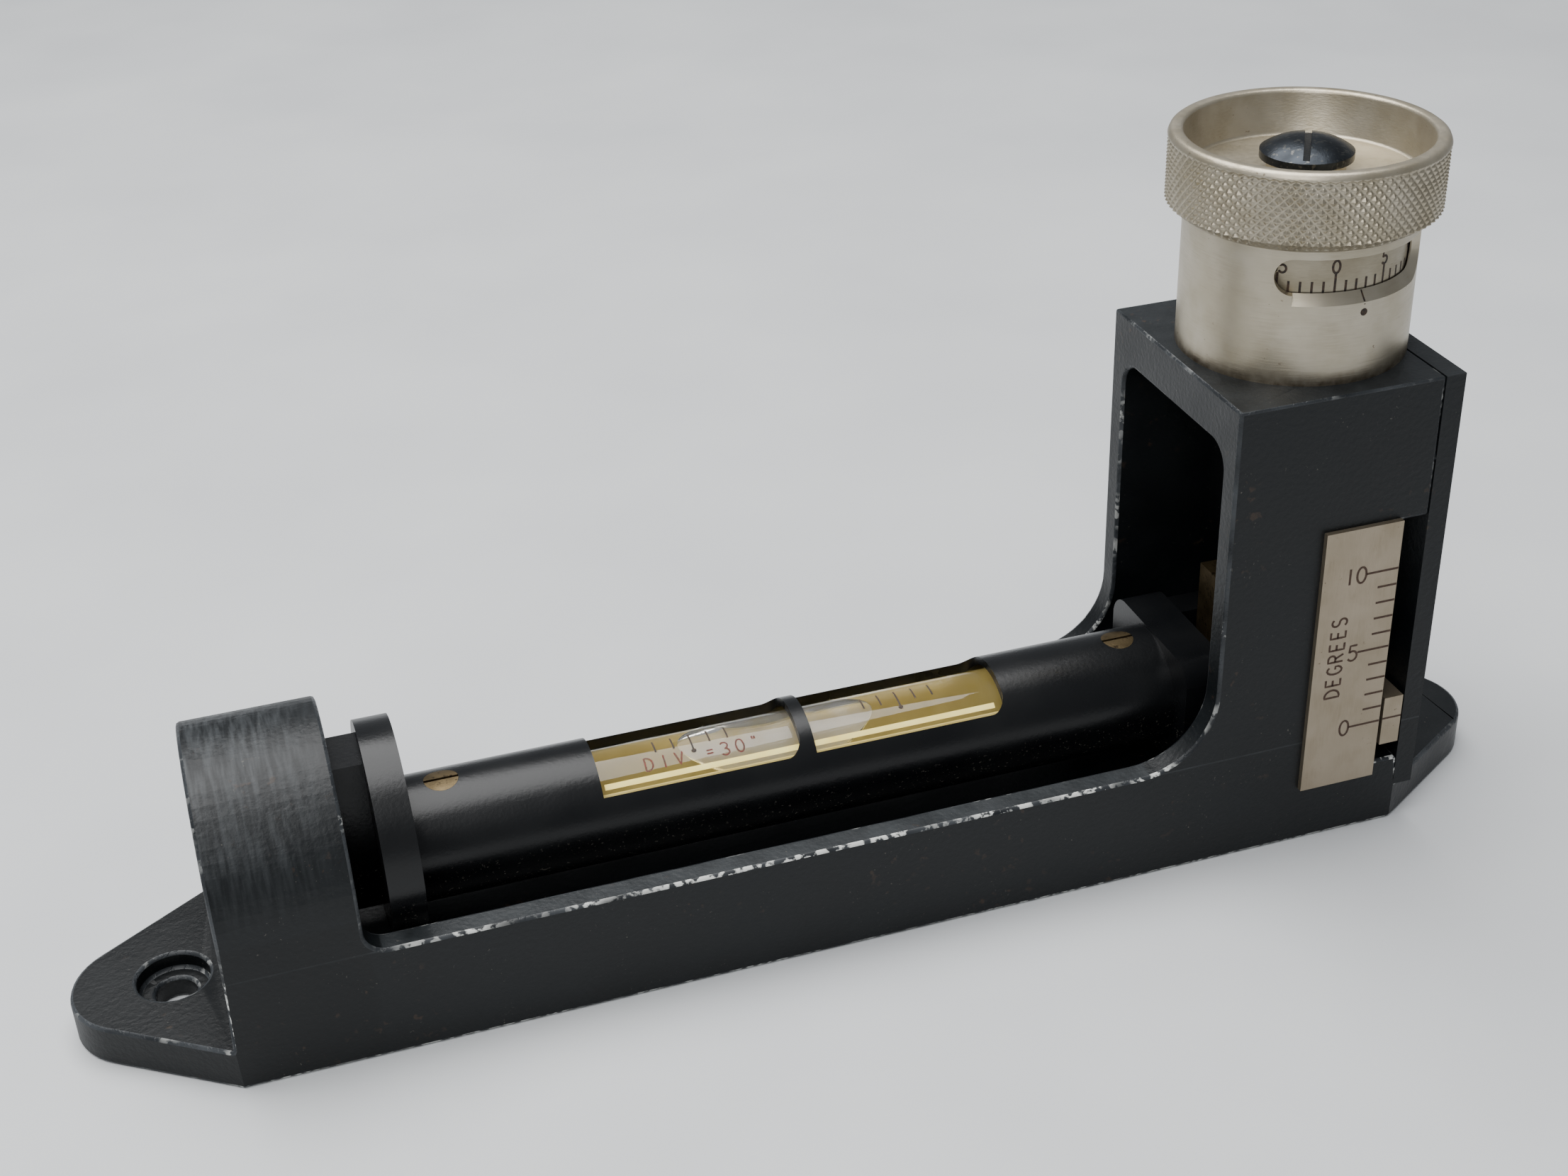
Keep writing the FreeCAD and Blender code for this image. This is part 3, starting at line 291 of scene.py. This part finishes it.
def dull_brown(name, code):
    """Wax in engraved lines, ink on glass, or cork: dull, and uneven in tone towards brown."""
    made, tree, shader, place = material(name)
    colour = colours(tree, patches(tree, place, 0.5, 0.4, 0.7), code, "#4a3626")
    set_shader(tree, shader, colour, 0.7)
    return made


def clear_glass(name, ior, tint, clearness=1.0):
    """Polished glass, or the air in the spirit, with a faint haze."""
    made, tree, shader, place = material(name)
    haze = patches(tree, place, 3, 0.5, 0.8)
    set_shader(tree, shader, colours(tree, haze, "#ffffff", tint), 0.02, specular=0.25)
    shader.inputs["Transmission Weight"].default_value = clearness
    shader.inputs["IOR"].default_value = ior
    return made


def gold_paint(name, pale, deep, painted_glow):
    """Yellow-gold lacquer that emits light: a painted glow, which lights the vial from below.

    painted_glow stands for the light that the glass gathers.
    """
    made, tree, shader, place = material(name)
    colour = colours(tree, patches(tree, place, 5, 0.3, 0.7), pale, deep)
    set_shader(tree, shader, colour, 0.35, metallic=0.3)
    tree.links.new(colour, shader.inputs["Emission Color"])
    shader.inputs["Emission Strength"].default_value = painted_glow
    return made


enamel = stove_enamel()
edge = worn_edge()
lacquer = tube_lacquer()
sleeve_metal = nickel_silver("nickel silver, brushed round", (0.06, 0.06, 1), "#b9b1a0", "#aca38f",
                             "#968b74")
knob_metal = nickel_silver("nickel silver, turned and knurled", (0.3, 0.3, 1), "#b3ab9a", "#a39a86",
                           "#85795f")
drum_metal = nickel_silver("nickel silver, turned and dulled", (0.2, 0.2, 1), "#a49c8a", "#8f8672",
                           "#6f644f")
plate_metal = nickel_silver("nickel silver sheet", (1, 1, 0.1), "#a09482", "#968a77", "#857863")
brass = metal("brass, turned and tarnished", "#5f523b", "#4c412d", 0.3, 0.45, "#352c1f")
bronze = metal("bronze bush", "#8a6a3f", "#6d5232", 0.3, 0.4)
steel = metal("bright steel", "#b4b5b4", "#9b9c9b", 0.25, 0.3)
black_steel = metal("blackened steel", "#33373c", "#24272b", 0.4, 0.3, "#4b4b49")
wax = dull_brown("dark engraving wax", "#201813")
brown_wax = dull_brown("brown engraving wax", "#3a2417")
black_ink = dull_brown("black ink on glass", "#221b16")
red_ink = dull_brown("red ink on glass", "#6b2a1c")
packing = dull_brown("cork packing", "#3a2a1c")
vial_glass = clear_glass("clear vial glass", 1.42, "#fbfae8")
bubble_air = clear_glass("air in spirit", 0.84, "#f3e8c4", 0.9)
# The liner's lacquer carries a faint painted glow
gold = gold_paint("yellow-gold lacquer", "#d8c47a", "#c8b268", 0.15)
# Pale gold with a stronger glow: the painted highlight on the front of the vial
painted_highlight_gold = gold_paint("painted highlight in yellow-gold lacquer", "#fff0a0", "#f0d878", 0.45)

FINISHES = {
    "tower_cover": enamel, "cover_screws": black_steel, "scale_plate": plate_metal, "pivot_pin": steel,
    "upper_bush": bronze, "foot_bush": bronze, "micrometer_sleeve": sleeve_metal,
    "sleeve_screws": black_steel, "lead_screw": steel, "thrust_washer": bronze, "lock_ring": steel,
    "graduated_drum": drum_metal, "hub_pin": steel, "drive_pins": steel, "knob_washer": steel,
    "knob_screw": black_steel,
    "drive_nut": brass, "trunnion_pins": steel, "index_bracket": brass, "bracket_screws": steel,
    "index_pointer": plate_metal, "end_flange": lacquer, "pivot_bush": bronze, "level_tube": lacquer,
    "tube_screws": brass, "fork_block": lacquer, "vial_packings": packing, "reflector_liner": gold,
}
for name, finish in FINISHES.items():
    for held in nodes[name].material_slots:
        held.material = finish


# Pieces


def shown(name, data):
    """An object that holds a mesh, a light or a camera, in the scene."""
    made = bpy.data.objects.new(name, data)
    bpy.context.scene.collection.objects.link(made)
    return made


def piece(name, vertices, faces, finish, body, sharp_from=30):
    """A new mesh from vertices in millimetres, riding on a body, sharp from an edge angle in degrees."""
    mesh = bpy.data.meshes.new(name)
    mesh.from_pydata((np.asarray(vertices) * MM).tolist(), [], faces)
    mesh.materials.append(finish)
    mesh.shade_smooth()
    mesh.set_sharp_from_angle(angle=math.radians(sharp_from))
    mesh.update()
    made = shown(name, mesh)
    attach(made, body)
    return made


# Points closer than this are one point, in millimetres: at a pole, and in a mesh from the CAD
POLE_GAP, CAD_GAP = 0.0005, 0.002


def welded(made):
    """The same piece with the points that meet at a pole joined, and with every face turned outwards."""
    work = bmesh.new()
    work.from_mesh(made.data)
    bmesh.ops.remove_doubles(work, verts=work.verts, dist=POLE_GAP * MM)
    bmesh.ops.recalc_face_normals(work, faces=work.faces)
    work.to_mesh(made.data)
    work.free()
    return made


def grid_faces(rows, columns, closed_rows, closed_columns):
    """Quads between neighbouring points of a grid that is stored row by row."""
    r = np.arange(rows if closed_rows else rows - 1)[:, None]
    c = np.arange(columns if closed_columns else columns - 1)[None, :]
    r_next = (r + 1) % rows
    c_next = (c + 1) % columns
    corners = [r * columns + c, r * columns + c_next, r_next * columns + c_next, r_next * columns + c]
    return np.stack(corners, -1).reshape(-1, 4).tolist()


def softened_copy(name, finish, edge_finish, width, body):
    """A copy of a CAD node whose sharp edges are rounded, with the worn finish on the roundings."""
    flat, sharp = math.radians(0.5), math.radians(35)
    mesh = nodes[name].data.copy()
    work = bmesh.new()
    work.from_mesh(mesh)
    bmesh.ops.remove_doubles(work, verts=work.verts, dist=CAD_GAP * MM)
    bmesh.ops.dissolve_limit(work, angle_limit=flat, verts=work.verts, edges=work.edges)
    work.to_mesh(mesh)
    work.free()
    mesh.materials.clear()
    mesh.materials.append(finish)
    mesh.materials.append(edge_finish)
    mesh.shade_smooth()
    mesh.set_sharp_from_angle(angle=sharp)
    made = shown(name + "_softened", mesh)
    bevel = made.modifiers.new("rounded edges", "BEVEL")
    bevel.width = width * MM
    bevel.miter_outer = "MITER_ARC"
    bevel.segments = 2
    bevel.limit_method = "ANGLE"
    bevel.angle_limit = sharp
    bevel.material = len(mesh.materials) - 1
    bevel.use_clamp_overlap = False
    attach(made, body)
    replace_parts(made, name)
    return made


softened_copy("base_frame", enamel, edge, 0.45, "frame")


def knob():
    """The knob as a closed profile turned about the axis, its grip cut by two crossed knurls.

    Each knurl is a groove that climbs round the grip, and the two climb opposite ways. The
    depth at a point is the groove depth times one less the smaller of the two ridge heights,
    where a ridge height goes from 0 in a groove to 1 halfway to the next one.
    """
    teeth, pitch, depth = 84, 1.42, 0.42
    steps = 10
    bottom, top, grip_top = KNOB_LOW, KNOB_TOP, KNOB_TOP - 0.9
    chamfer, chamfer_rise = 1.9, 1.33
    rim_width, floor_rise, boss_rise, boss_radius, bore = 2.1, 4.7, 2.0, 5.2, 4.02
    grip_rows = int((grip_top - bottom) / pitch * steps)
    outer, dish = KNOB_RADIUS, KNOB_RADIUS - rim_width
    floor = bottom + floor_rise
    boss_top = floor + boss_rise
    grip = [(min(outer, outer - chamfer + (z - bottom) * chamfer / chamfer_rise), z)
            for z in np.linspace(bottom, grip_top, grip_rows)]
    # The rim's outer round, its inner round, the dish's wall and floor, then the boss and the bore
    rim = [(outer - 0.05, top - 0.75), (outer - 0.25, top - 0.3), (outer - 0.6, top - 0.05),
           (outer - 0.9, top), (dish + 0.5, top), (dish + 0.15, top - 0.15), (dish, top - 0.5),
           (dish - 0.45, floor + 0.4), (dish - 0.7, floor + 0.08), (dish - 1.0, floor),
           (boss_radius, floor), (boss_radius, boss_top), (bore, boss_top), (bore, bottom)]
    profile = np.array(grip + rim)
    angle = np.arange(teeth * steps) * 2 * math.pi / (teeth * steps)
    radius = np.repeat(profile[:, :1], len(angle), 1)
    height = np.repeat(profile[:, 1:], len(angle), 1)
    around = angle[None, :] * teeth / (2 * math.pi)
    along = (height - bottom) / pitch
    ridges = [1 - 2 * np.abs((turn % 1) - 0.5) for turn in (around + along, around - along)]
    cut = depth * (1 - np.minimum(*ridges))
    # The grooves run out just above the underside and just below the rim
    plain_below, plain_above, run_in, run_out = 0.1, 0.95, 0.5, 0.3
    fade = (np.clip((height - bottom - plain_below) / run_in, 0, 1)
            * np.clip((top - plain_above - height) / run_out, 0, 1))
    fade[grip_rows:] = 0
    radius = radius - cut * fade
    points = np.stack([SCREW_X + radius * np.sin(angle), -radius * np.cos(angle), height], -1)
    faces = grid_faces(len(profile), len(angle), True, True)
    made = piece("knurled_knob", points.reshape(-1, 3), faces, knob_metal, "micrometer",
                 sharp_from=50)
    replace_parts(made, "grip_knob")


knob()


# Engraved strokes: each sign is a list of lines in a cell one unit high


def arc(x, y, rx, ry, start, end, count=12):
    """Points on an ellipse from one angle to another, in degrees."""
    turn = np.radians(np.linspace(start, end, count))
    return list(zip(x + rx * np.cos(turn), y + ry * np.sin(turn)))


SIGNS = {
    "0": [arc(0.3, 0.5, 0.28, 0.5, 0, 360, 24)],
    "1": [[(0.3, 1), (0.3, 0)]],
    "2": [arc(0.3, 0.7, 0.27, 0.3, 170, -35) + [(0.03, 0), (0.58, 0)]],
    "3": [arc(0.28, 0.75, 0.25, 0.25, 150, -90) + arc(0.28, 0.25, 0.29, 0.25, 90, -150)],
    "4": [[(0.42, 0), (0.42, 1), (0.02, 0.3), (0.6, 0.3)]],
    "5": [[(0.55, 1), (0.12, 1), (0.08, 0.56)] + arc(0.28, 0.32, 0.29, 0.32, 125, -150)],
    "D": [[(0.02, 0), (0.02, 1)] + arc(0.12, 0.5, 0.44, 0.5, 90, -90) + [(0.02, 0)]],
    "E": [[(0.5, 1), (0.04, 1), (0.04, 0), (0.5, 0)], [(0.04, 0.52), (0.42, 0.52)]],
    "G": [arc(0.32, 0.5, 0.3, 0.5, 45, 330) + [(0.58, 0.45), (0.36, 0.45)]],
    "R": [[(0.04, 0), (0.04, 1)] + arc(0.28, 0.76, 0.24, 0.24, 90, -90) + [(0.04, 0.52)],
          [(0.28, 0.52), (0.54, 0)]],
    "S": [arc(0.28, 0.75, 0.24, 0.25, 30, 270) + arc(0.28, 0.25, 0.26, 0.25, 90, -150)],
    "I": [[(0.3, 1), (0.3, 0)]],
    "V": [[(0.02, 1), (0.3, 0), (0.58, 1)]],
    "=": [[(0.08, 0.62), (0.52, 0.62)], [(0.08, 0.36), (0.52, 0.36)]],
    "'": [[(0.2, 1.05), (0.2, 0.78)], [(0.36, 1.05), (0.36, 0.78)]],
    " ": [],
}


# The middle of a sign's cell
SIGN_CENTRE = [0.3, 0.5]


def written(text, x, y, height, spacing, upward=False):
    """The strokes of a word that is centred on a point; upward turns it a quarter turn to the left."""
    strokes = []
    shift = (len(text) - 1) * spacing / 2
    for i, sign in enumerate(text):
        for line in SIGNS[sign]:
            points = (np.array(line) - SIGN_CENTRE + [i * spacing - shift, 0]) * height
            if upward:
                points = np.stack([-points[:, 1], points[:, 0]], -1)
            strokes.append(points + [x, y])
    return strokes


def strip(points, width):
    """A line as a flat strip: each point goes half the width to both sides, square to the line there."""
    points = np.asarray(points, float)
    steps = np.gradient(points, axis=0)
    if np.allclose(points[0], points[-1]):
        steps[0] = steps[-1] = points[1] - points[-2]
    side = np.stack([-steps[:, 1], steps[:, 0]], -1) / np.linalg.norm(steps, axis=1)[:, None]
    both = np.stack([points - side * width / 2, points + side * width / 2], 1).reshape(-1, 2)
    first = np.arange(len(points) - 1)[:, None] * 2
    return both, first + np.array([[0, 2, 3, 1]])


def finely(points, step=0.4):
    """The same line with points about a step apart, always under two, so that it follows a curved face."""
    points = np.asarray(points, float)
    made = [points[:1]]
    for a, b in zip(points[:-1], points[1:]):
        count = max(1, int(np.linalg.norm(b - a) / step))
        made.append(a + (b - a) * np.linspace(0, 1, count + 1)[1:, None])
    return np.concatenate(made)


def marks(name, strokes, width, surface, finish, body):
    """Strokes laid on a surface, which turns (across, up) in millimetres into a place."""
    vertices, faces, start = [], [], 0
    for line in strokes:
        flat, quads = strip(finely(line), width)
        vertices.append(flat)
        faces += (quads + start).tolist()
        start += len(flat)
    return piece(name, surface(np.concatenate(vertices)), faces, finish, body)


def on_front(y):
    """A flat face towards -Y."""
    return lambda flat: np.stack([flat[:, 0], np.full(len(flat), y), flat[:, 1]], -1)


def on_upright(radius):
    """A round face about the screw's axis: the distance across is an arc's length from the front."""
    def place(flat):
        angle = flat[:, 0] / radius
        return np.stack([SCREW_X + radius * np.sin(angle), -radius * np.cos(angle), flat[:, 1]], -1)
    return place


def on_vial(radius):
    """The vial's round face: the distance up is an arc's length from the crown."""
    def place(flat):
        angle = -flat[:, 1] / radius
        return np.stack([flat[:, 0], -radius * np.sin(angle), TUBE_Z + radius * np.cos(angle)], -1)
    return place


# How far the marks stand off their face, in millimetres
ENGRAVING_LIFT = 0.02


def degree_scale():
    """Ten degrees up the plate's right edge, 2.54 mm apart, and the index line at zero."""
    zero, degree, fifth = TUBE_Z - 1.1, 2.54, 5
    long, short, end_gap, line_width, index_width = 5.0, 3.0, 0.05, 0.33, 0.3
    number_gap, number_step, number_height, number_spacing = 0.75, 0.9, 2.5, 0.72
    unit_inset, unit_rise, unit_height, unit_spacing = 8.4, 12.4, 2.3, 0.86
    strokes = []
    for i in range(2 * fifth + 1):
        length = long if i % fifth == 0 else short
        z = zero + i * degree
        strokes.append([(PLATE_RIGHT - end_gap, z), (PLATE_RIGHT - length, z)])
    for i in (0, fifth, 2 * fifth):
        text = str(i)
        x = PLATE_RIGHT - long - number_gap - number_step * (len(text) - 1)
        strokes += written(text, x, zero + i * degree, number_height, number_spacing)
    strokes += written("DEGREES", PLATE_RIGHT - unit_inset, zero + unit_rise, unit_height, unit_spacing,
                       upward=True)
    marks("degree_scale", strokes, line_width, on_front(PLATE_FACE - ENGRAVING_LIFT), brown_wax, "frame")
    marks("index_line", [[(low("index_pointer", X), zero), (high("index_pointer", X), zero)]], index_width,
          on_front(POINTER_FACE - ENGRAVING_LIFT), brown_wax, "nut")


def minute_scale():
    """Sixty minutes round the drum, with a figure at every fifth."""
    minutes, fifth, degrees_right = 60, 5, -10.7
    long, short, line_width = 2.9, 1.8, 0.32
    number_rise, number_height, number_spacing = 3.75, 1.7, 0.72
    radius = DRUM_RADIUS + ENGRAVING_LIFT
    division = 2 * math.pi * radius / minutes
    zero = math.radians(degrees_right) * radius
    foot = SLEEVE_LOW + 12.4
    strokes = []
    for i in range(minutes):
        x = zero + i * division
        strokes.append([(x, foot), (x, foot + (long if i % fifth == 0 else short))])
        if i % fifth == 0:
            strokes += written(str(i), x, foot + number_rise, number_height, number_spacing)
    marks("minute_scale", strokes, line_width, on_upright(radius), wax, "micrometer")


def sleeve_index():
    """The dot below the window and the line on its bevel."""
    radius, degrees_right = SLEEVE_RADIUS + ENGRAVING_LIFT, 3.85
    x = math.radians(degrees_right) * radius
    dot_height, dot_radius = SLEEVE_LOW + 9.94, 0.26
    line_low, line_high, line_width = SLEEVE_LOW + 11.0, SLEEVE_LOW + 12.65, 0.26
    bevel_low, bevel_rise, bevel_depth = SLEEVE_LOW + 11.3, 1.4, 1.2
    dot = arc(x, dot_height, dot_radius, dot_radius, 0, 360, 20)
    marks("sleeve_dot", [dot], 2 * dot_radius, on_upright(radius), wax, "frame")

    def on_bevel(flat):
        depth = np.clip((flat[:, 1] - bevel_low) / bevel_rise, 0, 1) * bevel_depth
        angle = flat[:, 0] / radius
        inner = radius - depth
        return np.stack([SCREW_X + inner * np.sin(angle), -inner * np.cos(angle), flat[:, 1]], -1)
    line = [(x, line_low), (x, line_high)]
    marks("sleeve_line", [line], line_width, on_bevel, wax, "frame")


def vial_scale():
    """Two groups of five lines on the glass, with a dot below each middle one, and a division's value."""
    spacing, group_reach, line_top, line_end, middle_end = 2.57, 15.2, 1.0, -1.5, -2.4
    line_width, dot_width, dot_radius, dot_height = 0.25, 0.4, 0.16, -2.5
    value_shift, value_place, value_height, value_spacing = -14.2, -3.2, 2.0, 1.08
    surface = on_vial(VIAL_RADIUS + ENGRAVING_LIFT)
    lines, dots = [], []
    for centre in (VIAL_X - group_reach, VIAL_X + group_reach):
        for i in range(-2, 3):
            x = centre + i * spacing
            lines.append([(x, line_top), (x, middle_end if i == 0 else line_end)])
        dots.append(arc(centre, dot_height, dot_radius, dot_radius, 0, 360, 16))
    value = written("DIV =30'", VIAL_X + value_shift, value_place, value_height, value_spacing)
    marks("vial_lines", lines, line_width, surface, black_ink, "level")
    marks("vial_dots", dots, dot_width, surface, black_ink, "level")
    marks("vial_value", value, line_width, surface, red_ink, "level")


degree_scale()
minute_scale()
sleeve_index()
vial_scale()


def solid_vial():
    """The vial as one clear rod, turned about its axis: a straight side, quarter rounds and flat ends.

    Glass and spirit bend light almost alike, so the wall between them is left out and the
    bubble is an inner skin.
    """
    rows, columns, end_round = 41, 72, 3.0
    turn = np.radians(np.linspace(-90, 90, rows))[:, None]
    around = (np.arange(columns) * 2 * math.pi / columns)[None, :]
    # Each end's round takes half of the rows, and the middle row lies halfway along the straight side
    side = np.sign(np.arange(rows) - rows // 2)[:, None]
    x = VIAL_X + (VIAL_HALF - end_round) * side + end_round * np.sin(turn)
    radius = VIAL_RADIUS - end_round + end_round * np.cos(turn)
    radius[[0, -1]] = 0
    points = np.stack([x + 0 * around, radius * np.sin(around), TUBE_Z + radius * np.cos(around)], -1)
    faces = grid_faces(rows, columns, False, True)
    return welded(piece("glass_vial", points.reshape(-1, 3), faces, vial_glass, "level"))


def bubble():
    """The bubble: an ellipsoid, nearly flat above, bent round under the crown of the bore."""
    rows, columns = 41, 64
    half_length, half_width, depth, crown_share = 14.2, 5.3, 3.2, 0.05
    shift, glass_wall, film = -2.7, 1.3, 0.3
    across = np.radians(np.linspace(0, 180, rows))[:, None]
    around = (np.arange(columns) * 2 * math.pi / columns)[None, :]
    bore = VIAL_RADIUS - glass_wall
    x = VIAL_X + shift + half_length * np.cos(across) + 0 * around
    y = half_width * np.sin(across) * np.sin(around)
    z = depth * np.sin(across) * np.cos(around)
    crown = np.sqrt(np.maximum(bore ** 2 - y ** 2, 0))
    z = np.where(z > 0, crown_share * z, z) + crown - film
    points = np.stack([x, y, TUBE_Z + z], -1).reshape(-1, 3)
    faces = grid_faces(rows, columns, False, True)
    return welded(piece("spirit_bubble", points, faces, bubble_air, "level"))


def reflector_lip():
    """A painted highlight for the reflector's front edge seen through the glass: a narrow glowing band just
    outside the vial, round part of it.

    Across the band the angle from the crown grows evenly, and along it x runs straight.
    """
    rows, columns = 5, 60
    upper_angle, lower_angle, gap, reach = 40, 46.5, 0.04, 28.5
    angle = np.radians(np.linspace(upper_angle, lower_angle, rows))[:, None]
    x = VIAL_X + np.linspace(-reach, reach, columns)[None, :]
    radius = VIAL_RADIUS + gap
    points = np.stack([x + 0 * angle, -radius * np.sin(angle) + 0 * x,
                       TUBE_Z + radius * np.cos(angle) + 0 * x], -1)
    faces = [quad[::-1] for quad in grid_faces(rows, columns, False, False)]
    piece("reflector_lip", points.reshape(-1, 3), faces, painted_highlight_gold, "level")


reflector_lip()
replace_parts(solid_vial(), "vial_glass")
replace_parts(bubble(), "spirit_fill")


# Floor, light and camera


# Each light's name, size in millimetres, power in watts and place; all face the origin
LIGHTS = (("ceiling", 900, 19.0, (-120, 160, 900)), ("lamp", 260, 1.5, (-260, -420, 480)))
SKY_STRENGTH = 0.36


def studio():
    """A wide, flat, pale floor, lit by the sky, a wide soft light overhead and a small lamp in front."""
    made, tree, shader, place = material("pale paper")
    colour = colours(tree, patches(tree, place, 60, 0.3, 0.7), "#c6c8c9", "#bdbfc1")
    set_shader(tree, shader, colour, 0.6)
    half = 3000 * MM
    corners = [(-half, -half, 0), (half, -half, 0), (half, half, 0), (-half, half, 0)]
    mesh = bpy.data.meshes.new("floor")
    mesh.from_pydata(corners, [], [(0, 1, 2, 3)])
    mesh.materials.append(made)
    shown("floor", mesh)

    world = bpy.data.worlds.new("soft sky")
    world.use_nodes = True
    background = world.node_tree.nodes["Background"]
    background.inputs["Color"].default_value = linear("#dfe4ea")
    background.inputs["Strength"].default_value = SKY_STRENGTH
    bpy.context.scene.world = world

    for name, size, power, spot in LIGHTS:
        light = bpy.data.lights.new(name, "AREA")
        light.size = size * MM
        light.energy = power
        held = shown(name, light)
        held.location = Vector(spot) * MM
        held.rotation_mode = "QUATERNION"
        held.rotation_quaternion = (-Vector(spot)).to_track_quat("-Z", "Y")


def camera():
    """The camera that was fitted to the photograph's 2212 x 1659 frame."""
    azimuth, elevation, roll = (math.radians(a) for a in (16.76, 30.41, -2.25))
    image_width, focal_pixels, sensor = 2212, 3023.2, 36.0
    place = Vector((-75.65, -239.37, 194.69)) * MM
    forward = np.array([math.sin(azimuth) * math.cos(elevation), math.cos(azimuth) * math.cos(elevation),
                        -math.sin(elevation)])
    right = np.cross(forward, [0, 0, 1])
    right /= np.linalg.norm(right)
    up = np.cross(right, forward)
    across = math.cos(roll) * right + math.sin(roll) * up
    upward = math.cos(roll) * up - math.sin(roll) * right
    lens = bpy.data.cameras.new("camera")
    lens.sensor_width = sensor
    lens.lens = sensor * focal_pixels / image_width
    lens.clip_start = 10 * MM
    held = shown("camera", lens)
    turn = Matrix(np.stack([across, upward, -forward], 1).tolist()).to_4x4()
    held.matrix_world = Matrix.Translation(place) @ turn
    bpy.context.scene.camera = held


studio()
camera()
bpy.context.view_layer.update()
